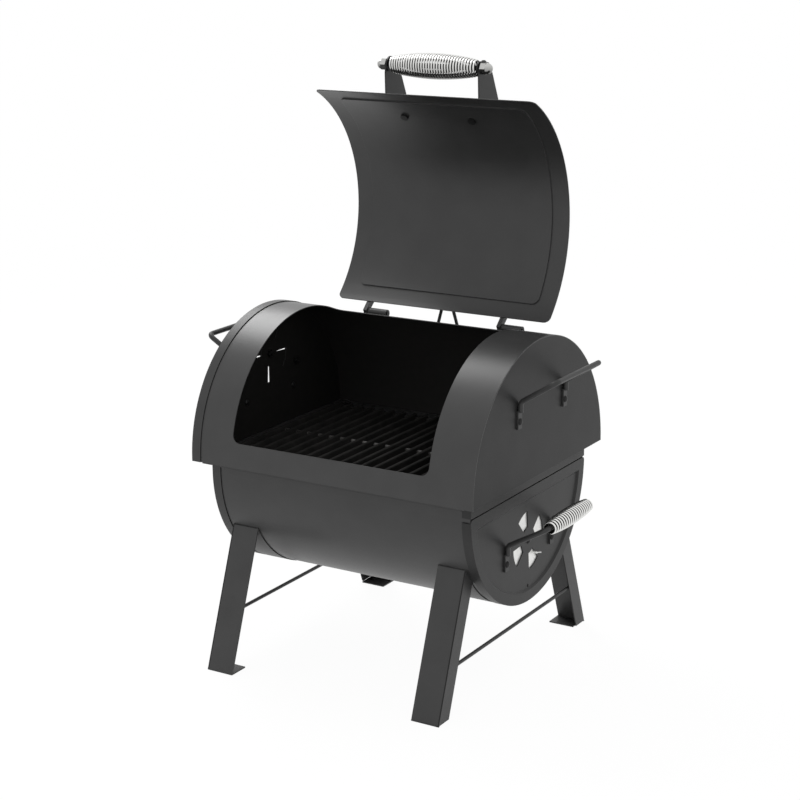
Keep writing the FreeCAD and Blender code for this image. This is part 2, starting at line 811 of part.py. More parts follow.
def lid_panel():
    """A curved sheet with round corners and a panel pressed inwards inside its border."""
    half = val("lid_half")
    rear = val("lid_rear")
    front = val("lid_front")
    sweep = front - rear
    border = ring_sector("lid_sheet", "#hood_radius + #lid_gap + #lid_wall", "#lid_wall",
                         "2 * #lid_half", -half, HOOD_AXIS, rear, sweep)
    outline = rounded_window("lid_outline", half, rear, front, val("lid_corner"), HOOD_AXIS,
                             LID_OUT)
    trimmed = common("lid_trimmed", border, outline)
    inset = val("panel_inset")
    slack = math.degrees(inset / LID_OUT)
    hole = rounded_window("lid_panel_hole", half - inset, rear + slack, front - slack,
                          val("panel_corner"), HOOD_AXIS, LID_OUT)
    framed = cut("lid_framed", trimmed, hole)
    wall = val("lid_wall")
    edge = math.degrees(wall / LID_OUT)
    block = ring_sector("lid_block", "#hood_radius + #lid_gap + #lid_wall",
                        "(#lid_wall + #panel_step)", "2 * #lid_half", -half, HOOD_AXIS, rear, sweep)
    room = ring_sector("lid_room", "#hood_radius + #lid_gap + #lid_wall + 1",
                       "(#panel_step + 1)", "2 * #lid_half", -half, HOOD_AXIS, rear, sweep)
    spread = rounded_window("lid_panel_spread", half - inset - wall, rear + slack + edge,
                            front - slack - edge, val("panel_corner") - wall, HOOD_AXIS, LID_OUT)
    dish = cut("lid_dish", common("lid_dish_block", block, hole),
               common("lid_dish_room", room, spread))
    whole = fuse("lid_whole", framed, dish)
    holes = []
    for side in (-1, 1):
        turn = FreeCAD.Rotation(AXIS_X, BRACKET_BOLT - 90)
        holes.append(cylinder("lid_hole", "#bolt_radius + #bolt_gap", LID_OUT + 10,
                              bracket_bolt_x(side), 0, HOOD_AXIS, turn=turn))
    return opened(cut("lid_holed", whole, fuse("lid_holes", *holes)))


def hinge_arm(side):
    """The moving leaf: a knuckle on the pin, a stout arm and a strap on the back of the lid."""
    name = "hinge_arm_left" if side < 0 else "hinge_arm_right"
    total = val("arm_width") + val("knuckle_gap") + val("base_width")
    x = val("hinge_shift") + side * val("hinge_mid") - total / 2
    width = val("arm_width")
    knuckle = cylinder(name + "_knuckle", "#knuckle_radius", width, x, HINGE_Y, HINGE_Z)
    seat = LID_OUT + 0.05
    wall = val("strap_wall")
    first = val("lid_rear") + 0.8
    last = first + math.degrees(val("strap_length") / LID_OUT)
    strap = ring_sector(name + "_strap", seat + wall, wall, "#strap_width", x, HOOD_AXIS, first,
                        last - first)
    near_y, near_z = polar(seat, first, 0, HOOD_AXIS)
    along_y, along_z = math.sin(math.radians(first)), -math.cos(math.radians(first))
    reach = val("strap_reach")
    grip = val("knuckle_radius") - 0.4
    behind = first + math.degrees(val("arm_depth") / LID_OUT)
    outline = [(near_y, near_z), (near_y + along_y * reach, near_z + along_z * reach),
               (HINGE_Y + along_y * grip, HINGE_Z + along_z * grip), (HINGE_Y, HINGE_Z),
               polar(seat + val("arm_depth"), behind, 0, HOOD_AXIS),
               polar(seat + wall / 2, behind, 0, HOOD_AXIS)]
    web = plate_x(name + "_web", outline, x, width)
    solid = fuse(name + "_leaf", knuckle, strap, web)
    bore = cylinder(name + "_bore", "#pin_radius + #pin_gap", width + 2, x - 1, HINGE_Y, HINGE_Z)
    return opened(cut(name + "_bored", solid, bore))


def hinge_base(side):
    """The fixed leaf: a knuckle beside the arm's and a plate on the back of the hood."""
    name = "hinge_base_left" if side < 0 else "hinge_base_right"
    total = val("arm_width") + val("knuckle_gap") + val("base_width")
    x = val("hinge_shift") + side * val("hinge_mid") - total / 2
    x = x + val("arm_width") + val("knuckle_gap")
    width = val("base_width")
    knuckle = cylinder(name + "_knuckle", "#knuckle_radius", width, x, HINGE_Y, HINGE_Z)
    angle = math.degrees(math.atan2(HINGE_Z - HOOD_AXIS, HINGE_Y))
    turn = FreeCAD.Rotation(AXIS_X, angle)
    reach = math.hypot(HINGE_Z - HOOD_AXIS, HINGE_Y)
    seat = val("hood_radius")
    web = box(name + "_web", x, 0, 0, width, reach - seat - 1, 3)
    web.Placement = FreeCAD.Placement(V(x, 0, HOOD_AXIS), turn).multiply(
        FreeCAD.Placement(V(0, seat, -val("knuckle_radius")), UPRIGHT))
    leaf = ring_sector(name + "_leaf", seat + 2.05, 2, width, x, HOOD_AXIS, angle - 8.5, 8)
    solid = fuse(name + "_solid", knuckle, web, leaf)
    bore = cylinder(name + "_bore", "#pin_radius + #pin_gap", width + 2, x - 1, HINGE_Y, HINGE_Z)
    return cut(name + "_bored", solid, bore)


def hinge_pin(side):
    """The pin, headed at the base leaf's end."""
    name = "hinge_pin_left" if side < 0 else "hinge_pin_right"
    total = val("arm_width") + val("knuckle_gap") + val("base_width")
    x = val("hinge_shift") + side * val("hinge_mid") - total / 2
    shank = cylinder(name + "_shank", "#pin_radius", total + 1.5, x - 1, HINGE_Y, HINGE_Z)
    head = cylinder(name + "_head", "#pin_radius + 1.2", 1.5, x + total + 0.2, HINGE_Y, HINGE_Z)
    return fuse(name + "_pin", shank, head)


def lid_stop():
    """A wire loop on the back of the hood that the open lid leans on."""
    seat = val("hood_radius")
    angle = val("stop_angle")
    wire = val("stop_wire")
    base_y, base_z = polar(seat, angle, 0, HOOD_AXIS)
    top_z = base_z + val("stop_height")
    touch_z = top_z - 2.2 * val("stop_bend")
    lean = math.asin((LID_Z - touch_z) / LID_OUT)
    touch_y = LID_Y + (LID_OUT + wire + val("run_gap")) * math.cos(lean)
    top_y = base_y + (touch_y - base_y) * (top_z - base_z) / (touch_z - base_z)
    middle = val("stop_x")
    half = val("stop_half")
    points = [V(middle - half, base_y, base_z), V(middle, top_y, top_z),
              V(middle + half, base_y, base_z)]
    loop = bent_rod("lid_stop_wire", points, "#stop_wire", val("stop_bend"))
    drum = cylinder("lid_stop_drum", "#hood_radius + #cap_gap", 4 * half, middle - 2 * half, 0,
                    HOOD_AXIS)
    foot = ring_sector("lid_stop_foot", "#hood_radius + #cap_gap + #bracket_wall",
                       "#bracket_wall", 2.6 * half, middle - 1.3 * half, HOOD_AXIS, angle - 2.5, 5)
    return fuse("lid_stop_whole", cut("lid_stop_trim", loop, drum), foot)


def lid_bracket(side):
    """A tapered upright with a round top, folded over at its foot to lie on the lid."""
    name = "lid_bracket_left" if side < 0 else "lid_bracket_right"
    wall = val("bracket_wall")
    x = val("grip_shift") + side * val("bracket_half")
    x = x if side > 0 else x - wall
    seat = PANEL_OUT + val("cap_gap")
    head = val("bracket_head")
    neck = val("bracket_neck")
    back = val("bracket_back")
    border = val("panel_inset") + val("lid_wall") + 0.6
    foot_front = val("lid_front") - val("lid_open") - math.degrees(border / LID_OUT)
    foot_back = foot_front - 17
    outline = [polar(seat - 2, foot_front, LID_Y, LID_Z),
               polar(LID_OUT + 1, foot_front, LID_Y, LID_Z), (GRIP_Y - neck, GRIP_Z - head),
               (GRIP_Y - neck + 2, GRIP_Z), (GRIP_Y + back - head / 2, GRIP_Z),
               (GRIP_Y + back, GRIP_Z - head),
               (GRIP_Y + val("bracket_spread"), GRIP_Z - val("bracket_drop")),
               polar(seat - 2, foot_back, LID_Y, LID_Z)]
    tapered = plate_x(name + "_tapered", outline, x, wall)
    top = cylinder(name + "_top", "#bracket_head", wall, x, GRIP_Y + head * 0.45, GRIP_Z - 0.6)
    second = cylinder(name + "_shoulder", "#bracket_head * 0.8", wall, x, GRIP_Y + back * 0.47,
                      GRIP_Z - 1.8)
    upright = fuse(name + "_upright", tapered, top, second)
    reach = val("bracket_pad") * 2
    drum = cylinder(name + "_drum", seat, reach, x - reach / 2, LID_Y, LID_Z)
    upright = cut(name + "_seated", upright, drum)
    inner = val("bracket_half") - val("bracket_pad")
    start = val("grip_shift") + (inner if side > 0 else -val("bracket_half") - wall)
    pad = ring_sector(name + "_pad", seat + wall, wall, "#bracket_pad + #bracket_wall", start,
                      LID_Z, foot_back, foot_front - foot_back, LID_Y)
    solid = fuse(name + "_solid", upright, pad)
    turn = FreeCAD.Rotation(AXIS_X, BRACKET_BOLT - val("lid_open") - 90)
    hole = cylinder(name + "_hole", "#bolt_radius + #bolt_gap", seat + 50,
                    bracket_bolt_x(side), LID_Y, LID_Z, turn=turn)
    bore = cylinder(name + "_bore", "#rod_radius + #bolt_gap", wall + 2, x - 1, GRIP_Y, GRIP_Z)
    return cut(name + "_drilled", solid, fuse(name + "_tools", hole, bore))


def lid_bracket_bolts():
    """A bolt through each bracket's foot and the lid, headed inside, with a nut outside."""
    parts = []
    centre_y, centre_z = LID_Y, LID_Z
    angle = BRACKET_BOLT - val("lid_open")
    turn = FreeCAD.Rotation(AXIS_X, angle - 90)
    inside = PANEL_OUT - val("lid_wall")
    outside = PANEL_OUT + val("cap_gap") + val("bracket_wall")
    deep = val("bracket_head_wall")
    for side in (-1, 1):
        x = bracket_bolt_x(side)
        y, z = polar(inside - deep - 0.1, angle, centre_y, centre_z)
        head = cylinder("bracket_bolt_head", "#bolt_radius * 2.1", "#bracket_head_wall", x, y, z,
                        turn=turn)
        crown = doc.addObject("Part::Sphere", "bracket_bolt_crown")
        bind(crown, Radius="#bolt_radius * 2.4")
        crown.Placement.Base = V(x, *polar(inside - 0.1, angle, centre_y, centre_z))
        head = common("bracket_bolt_domed", head, crown)
        length = outside - inside + val("nut_height") + 2 + deep
        shank = cylinder("bracket_bolt_shank", "#bolt_radius", length, x, y, z, turn=turn)
        parts.append(fuse("bracket_bolt", head, shank))
        y, z = polar(outside, angle, centre_y, centre_z)
        body = doc.addObject("Part::Prism", "bracket_nut_body")
        body.Polygon = 6
        bind(body, Circumradius="#nut_radius", Height="#nut_height")
        body.Placement = FreeCAD.Placement(V(x, y, z), turn)
        bore = cylinder("bracket_nut_bore", "#bolt_radius + 0.02", "#nut_height", x, y, z, turn=turn)
        parts.append(cut("bracket_nut", body, bore))
    return group("bracket_bolts", parts)


def handle_rod():
    reach = val("bracket_half") + val("bracket_wall") + val("nut_height") + 3
    return cylinder("handle_rod_bar", "#rod_radius", 2 * reach, val("grip_shift") - reach, GRIP_Y,
                    GRIP_Z)


def coil_grip(name, half, turns, mid_radius, end_radius, rod_radius, y, z):
    """A close-wound barrel-shaped coil: one ridge to each turn of the wire."""
    body = doc.addObject("PartDesign::Body", name + "_body")
    sketch = body.newObject("Sketcher::SketchObject", name + "_profile")
    plane = [f for f in body.Origin.OriginFeatures if f.Role == "XY_Plane"][0]
    sketch.AttachmentSupport = (plane, [""])
    sketch.MapMode = "FlatFace"
    pitch = 2 * half / turns
    points = [V(-half, rod_radius, 0)]
    for index in range(turns):
        for step, low in ((0.0, 1.6), (0.5, 0.0)):
            x = -half + (index + step) * pitch
            points.append(V(x, bulge(x / half, mid_radius, end_radius) - low, 0))
    points.append(V(half, end_radius - 1.6, 0))
    points.append(V(half, rod_radius, 0))
    for first, second in zip(points, points[1:] + points[:1]):
        sketch.addGeometry(Part.LineSegment(first, second), False)
    turned = body.newObject("PartDesign::Revolution", name + "_turned")
    turned.Profile = sketch
    turned.ReferenceAxis = (sketch, ["H_Axis"])
    turned.Angle = 360
    body.Placement = FreeCAD.Placement(V(0, y, z), UPRIGHT)
    return body


def bulge(share, mid_radius, end_radius):
    """The coil's outer radius at a share of its half length."""
    return end_radius + (mid_radius - end_radius) * math.cos(share * math.pi / 2) ** 0.75


def handle_washers():
    """A plain washer inside each bracket, between it and the coil."""
    parts = []
    wall = val("washer_wall")
    for side in (-1, 1):
        x = val("grip_shift") + side * (val("bracket_half") - 0.2)
        x = x - wall if side > 0 else x
        ring = cylinder("washer_ring", "#washer_radius", "#washer_wall", x, GRIP_Y, GRIP_Z)
        bore = cylinder("washer_bore", "#rod_radius + #cap_gap", "#washer_wall", x, GRIP_Y, GRIP_Z)
        parts.append(cut("washer", ring, bore))
    return group("washers", parts)


def acorn_nuts():
    """A hexagon with a blind bore and a dome on the far side."""
    parts = []
    hexagonal = val("acorn_height")
    for side in (-1, 1):
        face = side * (val("bracket_half") + val("bracket_wall") + val("cap_gap"))
        face = face + val("grip_shift")
        start = face if side > 0 else face - hexagonal
        body = hexagon("acorn_hexagon", "#acorn_hex", "#acorn_height", start, GRIP_Y, GRIP_Z)
        dome = doc.addObject("Part::Sphere", "acorn_dome")
        bind(dome, Radius="#acorn_dome")
        dome.Angle1 = 0
        facing = FreeCAD.Rotation(AXIS_Z, V(side, 0, 0))
        dome.Placement = FreeCAD.Placement(V(face + side * hexagonal, GRIP_Y, GRIP_Z), facing)
        reach = val("nut_height") + 3
        start = face if side > 0 else face - reach
        bore = cylinder("acorn_bore", "#rod_radius + 0.05", reach, start, GRIP_Y, GRIP_Z)
        parts.append(cut("acorn", fuse("acorn_solid", body, dome), bore))
    return group("acorns", parts)


def half_plate(name, x, wall, radius, top, axis, corner=0.0):
    """A half disc whose straight edge is at the height top, with its two corners rounded."""
    disc = cylinder(name + "_disc", radius, wall, x, 0, axis)
    above = box(name + "_above", x - 1, -val("hood_radius"), top, val("drawer_recess") * 6,
                2 * val("hood_radius"), 2 * val("hood_radius"))
    plate = cut(name, disc, above)
    if not corner:
        return plate
    doc.recompute()
    picks = []
    for index, edge in enumerate(plate.Shape.Edges, start=1):
        ends = [vertex.Point for vertex in edge.Vertexes]
        along = len(ends) == 2 and abs(ends[0].x - ends[1].x) > 0.5
        if along and abs(ends[0].z - top) < 0.01 and abs(ends[0].y) > val("hood_radius") / 2:
            picks.append((index, corner, corner))
    rounded = doc.addObject("Part::Fillet", name + "_rounded")
    rounded.Base = plate
    rounded.Edges = picks
    return rounded


def sloped_recess(name, x, length, grow):
    """A half disc that widens towards +X at 45 degrees, its straight edge sloping as well."""
    radius = val("recess_radius") + grow - val("drawer_recess")
    cone = doc.addObject("Part::Cone", name + "_cone")
    bind(cone, Radius1=radius, Radius2=radius + length, Height=length)
    cone.Placement = FreeCAD.Placement(V(x, 0, BARREL_AXIS), ALONG_X)
    top = val("recess_top") + grow - val("drawer_recess")
    side = val("hood_radius")
    slope = FreeCAD.Rotation(AXIS_Y, -45)
    above = box(name + "_above", 0, 0, 0, 4 * side, 2 * side, 4 * side)
    start = slope.multVec(V(-2 * side, 0, 0))
    above.Placement = FreeCAD.Placement(V(x, -side, top) + start, slope)
    return cut(name, cone, above)


def drawer_front():
    """The half-round front: a folded rim, a flat border and a recessed panel."""
    wall = val("end_wall")
    x = val("barrel_right") - wall
    gap = val("run_gap") + 0.3
    radius = "#barrel_radius + #cap_wall + %g" % gap
    corner = val("front_corner")
    plate = half_plate("front_plate", x, "#end_wall", radius, val("drawer_top"), BARREL_AXIS,
                       corner)
    rim = ring_sector("front_rim", radius, "#cap_wall", "#barrel_flange",
                      val("barrel_right") - val("barrel_flange"), BARREL_AXIS, 180, 180)
    side = val("hood_radius")
    rim_trim = box("front_rim_trim", x - side, -side, val("drawer_top") - corner, 2 * side,
                   2 * side, side)
    rim_low = cut("front_rim_low", rim, rim_trim)
    deep = x - val("drawer_recess")
    hole = sloped_recess("front_hole", deep, val("drawer_recess") + wall, 0)
    tray = sloped_recess("front_tray", deep, val("drawer_recess") + wall, 1.4 * wall)
    hollow = sloped_recess("front_hollow", deep + wall, val("drawer_recess") + wall, 0)
    pressed = fuse("front_pressed", cut("front_border", plate, hole),
                   cut("front_tray_cut", tray, hollow), rim_low)
    tools = [vent_windows("front_windows", deep - 1, 8, 0, val("damper_z"), val("window_start"),
                          "#window_sweep")]
    tools.append(bolt_hole("front_pivot", deep - 1, 4, 0, val("damper_z")))
    tools.append(cylinder("front_rivet_hole", "#rivet_radius + 0.1", 4, deep - 1, 0, RIVET_Z))
    for side in (-1, 1):
        tools.append(bolt_hole("front_bolt_hole", deep - 1, 4, side * val("handle_half"),
                               val("drawer_tab_z") + val("tab_bolt")))
    return cut("front_cut", pressed, fuse("front_tools", *tools))


def ash_pan():
    """A half-round tray with side lips that run on the drawer rails."""
    rear = val("pan_rear")
    front = val("barrel_right") - val("end_wall")
    trough = ring_sector("pan_trough", "#pan_radius", "#pan_wall", front - rear, rear,
                         BARREL_AXIS, 180, 180)
    side = val("hood_radius")
    above = box("pan_above", rear - 1, -side, LIP_TOP, front - rear + 2, 2 * side, side)
    parts = [cut("pan_low", trough, above)]
    inner = val("pan_radius") - val("pan_wall")
    width = val("pan_lip") + val("pan_wall")
    lip_length = val("barrel_right") - val("barrel_flange") - 5 - rear
    for side in (-1, 1):
        y = inner if side > 0 else -inner - width
        parts.append(box("pan_side_lip", rear, y, LIP_LOW, lip_length, width, "#pan_wall"))
    return fuse("pan_whole", *parts)


def pan_back():
    plate = half_plate("pan_back_plate", val("pan_rear"), "#pan_wall",
                       "#pan_radius - #pan_wall - 0.05",
                       LIP_LOW - val("back_drop"), BARREL_AXIS)
    return plate


CHARCOAL_LOW = val("charcoal_top") - val("charcoal_bar")


def ledge_reach():
    """Half the pan's width at the underside of the charcoal grate's ledges."""
    inner = val("pan_radius") - val("pan_wall") - val("cap_gap")
    return math.sqrt(inner ** 2 - (BARREL_AXIS - CHARCOAL_LOW + val("ledge_wall")) ** 2)


def pan_ledges():
    """Two ledges on the pan's curved walls that carry the charcoal grate."""
    parts = []
    reach = ledge_reach()
    for side in (-1, 1):
        y = reach - val("ledge_width") if side > 0 else -reach
        parts.append(box("pan_ledge", val("pan_rear") + val("charcoal_inset"), y,
                         CHARCOAL_LOW - val("ledge_wall"), "#charcoal_length", "#ledge_width",
                         "#ledge_wall"))
    return group("pan_ledge_pair", parts)


def charcoal_grate():
    """Bars along the drawer with four ribs across them."""
    reach = ledge_reach() - 2
    bar = val("charcoal_bar")
    start = val("pan_rear") + val("charcoal_inset")
    length = val("charcoal_length")
    bars = []
    count = 14
    for index in range(count + 1):
        y = -reach + index * (2 * reach - bar) / count
        bars.append(box("charcoal_rod", start, y, CHARCOAL_LOW, "#charcoal_length",
                        "#charcoal_bar", "#charcoal_bar"))
    for index in range(4):
        bars.append(box("charcoal_cross", start + index * (length - bar) / 3, -reach,
                        CHARCOAL_LOW, "#charcoal_bar", 2 * reach, "#charcoal_bar"))
    return fuse("charcoal_bars", *bars)


def damper_disc(name, x, z, start):
    """A flat disc with four windows that turns on a pivot in its middle."""
    disc = cylinder(name + "_disc", "#disc_radius", "#disc_wall", x, 0, z)
    windows = vent_windows(name + "_windows", x - 1, 4, 0, z, start, "#disc_window",
                           "#window_outer", "#window_inner")
    pivot = cylinder(name + "_pivot", "#bolt_radius + #pin_gap", 4, x - 1, 0, z)
    return cut(name + "_plain", disc, fuse(name + "_tools", windows, pivot))


def turned_box(name, x, z, angle, reach, size_x, size_y, size_z, extra=0.0):
    """A block centred on a radius from the pivot, then turned about its own inner end."""
    block = doc.addObject("Part::Box", name)
    bind(block, Length=size_x, Width=size_y, Height=size_z)
    doc.recompute([block])
    half = block.Height.Value / 2
    swing = FreeCAD.Placement(V(x, 0, z), FreeCAD.Rotation(AXIS_X, angle))
    own = FreeCAD.Placement(V(0, reach, 0), FreeCAD.Rotation(AXIS_X, extra))
    block.Placement = swing.multiply(own).multiply(FreeCAD.Placement(V(0, 0, -half), UPRIGHT))
    return block


def drawer_damper():
    """The disc behind the drawer front; its lanced tab comes out through a window."""
    x = DEEP_BACK - val("disc_wall") - val("run_gap")
    z = val("damper_z")
    metal = 90 - val("window_sweep") - val("disc_window")
    start = val("window_start") + val("window_sweep") + metal / 2
    disc = damper_disc("drawer_disc", x, z, start)
    angle = val("stem_angle")
    top = DEEP_FACE + val("finger_gap") + val("finger_height")
    stem = turned_box("drawer_disc_stem", x, z, angle, val("stem_radius"), top - x, "#stem_reach",
                      "#finger_wall")
    finger = turned_box("drawer_disc_finger", top - val("finger_height"), z, angle,
                        val("stem_radius") + val("stem_reach") / 2, "#finger_height",
                        "#finger_length", "#finger_wall", val("finger_turn"))
    return fuse("drawer_disc_whole", disc, stem, finger)


def hood_damper():
    """The disc outside the hood's left end, with a finger tab folded out of its rim."""
    x = -HALF - val("disc_wall") - val("run_gap")
    z = val("vent_z")
    disc = damper_disc("hood_disc", x, z, val("vent_turn"))
    angle = val("vent_tab_angle")
    reach = val("vent_tab_reach")
    start = val("disc_radius") - reach / 3
    tab = turned_box("hood_disc_tab", x, z, angle, start, "#disc_wall", "#vent_tab_reach",
                     "#vent_tab_width")
    fold = turned_box("hood_disc_fold", x - reach, z, angle, start + reach - val("disc_wall"),
                      "#vent_tab_reach + #disc_wall / 2", "#disc_wall", "#vent_tab_width")
    return fuse("hood_disc_whole", disc, tab, fold)


def pivot_bolt(name, face, back, z, side):
    """A bolt through the sheet and its disc; the disc turns on the shank."""
    length = abs(face - back) + val("nut_height") + 2
    bolt = bolt_x(name + "_bolt", face, 0, z, length, side)
    nut = back - val("nut_height") if side > 0 else back
    return [bolt, nut_x(name + "_nut", nut, 0, z)]


def rivet():
    """The small rivet low on the drawer front, with a head on both sides."""
    wall = val("end_wall")
    shank = cylinder("rivet_shank", "#rivet_radius", wall, DEEP_BACK, 0, RIVET_Z)
    heads = []
    for face, side in ((DEEP_FACE, 1), (DEEP_BACK, -1)):
        head = doc.addObject("Part::Ellipsoid", "rivet_head")
        bind(head, Radius1="#rivet_radius", Radius2="#rivet_radius * 2",
             Radius3="#rivet_radius * 2")
        head.Angle1 = 0
        head.Angle2 = 90
        facing = FreeCAD.Rotation(AXIS_Z, V(side, 0, 0))
        head.Placement = FreeCAD.Placement(V(face, 0, RIVET_Z), facing)
        heads.append(head)
    return fuse("rivet_whole", shank, *heads)


def side_bolts():
    """Two bolts low in the hood's left end, headed inside, with nuts outside."""
    parts = []
    inside = -HALF + val("end_wall")
    for side in (-1, 1):
        length = val("end_wall") + val("nut_height") + 2
        parts.append(bolt_x("side_bolt", inside, side * SIDE_BOLT_Y, SIDE_BOLT_Z, length, 1))
        parts.append(nut_x("side_nut", -HALF - val("nut_height"), side * SIDE_BOLT_Y, SIDE_BOLT_Z))
    return parts


def drawer_grip():
    z = val("drawer_tab_z") + val("tab_height") + val("handle_neck") + val("handle_rise")
    coil = coil_grip("drawer_coil", val("drawer_grip_half"), 20, val("drawer_grip_radius"),
                     val("drawer_grip_end"), val("rod_radius") + val("cap_gap"), 0, z)
    x = DEEP_FACE + val("rod_radius") + val("drawer_reach")
    coil.Placement = FreeCAD.Placement(V(x, 0, z), FreeCAD.Rotation(AXIS_Z, 90))
    return coil



node("hood_shell", hood_shell())
node("hood_left_end", hood_left_end())
node("hood_right_end", hood_right_end())
node("rim_rail_front", rim_rail(-1))
node("rim_rail_back", rim_rail(1))
node("lower_barrel", lower_barrel())
node("barrel_left_end", barrel_left_end())
node("cross_strip", cross_strip())
node("grate_support_front", grate_support(-1))
node("grate_support_back", grate_support(1))
node("drawer_rails", drawer_rails())
node("grate_left", cooking_grate(-1))
node("grate_right", cooking_grate(1))
node("leg_front_left", leg(-1, -1))
node("leg_front_right", leg(1, -1))
node("leg_back_left", leg(-1, 1))
node("leg_back_right", leg(1, 1))
node("leg_saddle_left", leg_saddle(-1))
node("leg_saddle_right", leg_saddle(1))
node("leg_brace_left", leg_brace(-1))
node("leg_brace_right", leg_brace(1))
node("hood_handle_left", bent_handle("left_handle", -HALF, -1, val("hood_tab_z"),
                                     val("left_reach")))
node("hood_handle_right", bent_handle("right_handle", HALF, 1, val("hood_tab_z"),
                                      val("handle_reach")))
hood_bolts = handle_bolts("left_handle", -HALF, -HALF + val("end_wall"), -1, val("hood_tab_z"))
hood_bolts += handle_bolts("right_handle", HALF, HALF - val("end_wall"), 1, val("hood_tab_z"))
node("hood_handle_bolts", group("hood_handle_bolt_group", hood_bolts))
node("hinge_base_left", hinge_base(-1))
node("hinge_base_right", hinge_base(1))
node("hinge_pin_left", hinge_pin(-1))
node("hinge_pin_right", hinge_pin(1))
node("lid_stop", lid_stop())
node("lid_panel", lid_panel())
node("hinge_arm_left", hinge_arm(-1))
node("hinge_arm_right", hinge_arm(1))
node("lid_bracket_left", lid_bracket(-1))
node("lid_bracket_right", lid_bracket(1))
node("lid_bracket_bolts", lid_bracket_bolts())
node("lid_handle_rod", handle_rod())
lid_coil = coil_grip("lid_coil", val("grip_half"), 33, val("grip_mid_radius"),
                     val("grip_end_radius"), val("rod_radius") + val("cap_gap"), GRIP_Y, GRIP_Z)
lid_coil.Placement = FreeCAD.Placement(V(val("grip_shift"), GRIP_Y, GRIP_Z), UPRIGHT)
node("lid_grip_coil", lid_coil)
node("lid_handle_washers", handle_washers())
node("lid_acorn_nuts", acorn_nuts())
node("drawer_front", drawer_front())
node("ash_pan", ash_pan())
node("ash_pan_back", pan_back())
node("ash_pan_ledges", pan_ledges())
node("charcoal_grate", charcoal_grate())
node("drawer_handle", bent_handle("drawer_handle", DEEP_FACE, 1, val("drawer_tab_z"),
                                  val("drawer_reach")))
node("drawer_handle_bolts", group("drawer_bolt_group",
                                  handle_bolts("drawer_handle", DEEP_FACE, DEEP_BACK, 1,
                                               val("drawer_tab_z"))))

node("drawer_grip_coil", drawer_grip())
node("drawer_damper", drawer_damper())
node("drawer_damper_pivot", group("drawer_pivot_group", pivot_bolt(
    "drawer_pivot", DEEP_FACE, DEEP_BACK - val("disc_wall") - 2 * val("run_gap"),
    val("damper_z"), 1)))
node("drawer_rivet", rivet())
node("hood_damper", hood_damper())
node("hood_damper_pivot", group("hood_pivot_group", pivot_bolt(
    "hood_pivot", -HALF - val("disc_wall") - 2 * val("run_gap"), -HALF + val("end_wall"),
    val("vent_z"), -1)))
node("hood_end_bolts", group("side_bolt_group", side_bolts()))

doc.recompute()

failed = [obj.Name for obj in doc.Objects if "Invalid" in obj.State or "Error" in obj.State]
if failed:
    raise RuntimeError("objects failed: %s" % failed)
for part in nodes:
    if part.Shape.isNull() or not part.Shape.isValid():
        raise RuntimeError("bad shape: %s" % part.Label)

os.makedirs("parts", exist_ok=True)
for part in nodes:
    part.Shape.exportStep("parts/%s.step" % part.Label)
    print(part.Label, len(part.Shape.Solids), round(part.Shape.Volume / 1000, 1))
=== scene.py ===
import bmesh
import bpy
import json
import math
from mathutils import Matrix, Vector


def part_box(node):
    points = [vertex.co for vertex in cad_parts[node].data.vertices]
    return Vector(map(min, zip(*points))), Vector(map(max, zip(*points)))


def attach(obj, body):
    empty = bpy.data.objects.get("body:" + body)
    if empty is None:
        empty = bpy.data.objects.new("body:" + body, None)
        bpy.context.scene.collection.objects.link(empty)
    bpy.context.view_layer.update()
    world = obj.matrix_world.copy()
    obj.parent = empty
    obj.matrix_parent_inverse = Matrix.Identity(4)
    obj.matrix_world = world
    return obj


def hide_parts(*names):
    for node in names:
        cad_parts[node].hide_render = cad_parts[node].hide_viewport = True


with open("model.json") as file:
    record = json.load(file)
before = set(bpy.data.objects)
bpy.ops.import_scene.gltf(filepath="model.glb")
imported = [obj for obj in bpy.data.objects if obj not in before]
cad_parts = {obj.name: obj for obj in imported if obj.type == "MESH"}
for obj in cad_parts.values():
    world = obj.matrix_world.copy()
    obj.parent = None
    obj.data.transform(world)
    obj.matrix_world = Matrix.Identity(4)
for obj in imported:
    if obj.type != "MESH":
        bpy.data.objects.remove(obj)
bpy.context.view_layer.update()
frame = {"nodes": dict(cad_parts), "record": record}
nodes = frame["nodes"]
print("frame loaded:", len(nodes), "nodes")


def linear(hexColour):
    # sRGB hex to linear RGBA
    values = [int(hexColour[i:i + 2], 16) / 255 for i in (1, 3, 5)]
    return [v / 12.92 if v <= 0.04045 else ((v + 0.055) / 1.055) ** 2.4 for v in values] + [1.0]


def addNode(tree, kind, settings=None, inputs=None):
    # one node with its settings; each input takes a plain value or another node's output
    node = tree.nodes.new(kind)
    for key, value in (settings or {}).items():
        setattr(node, key, value)
    for key, value in (inputs or {}).items():
        if isinstance(value, bpy.types.NodeSocket):
            tree.links.new(value, node.inputs[key])
        else:
            node.inputs[key].default_value = value
    return node


def corners(cadNode):
    return [Vector(corner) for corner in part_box(cadNode)]


# metres and degrees, with the lens in millimetres
camera = {"target": (0.0009, 0.00045, 0.40388), "azimuth": 31.623, "elevation": 15.243, "roll": -0.5157,
          "distance": 2.90186, "lens": 84.885}


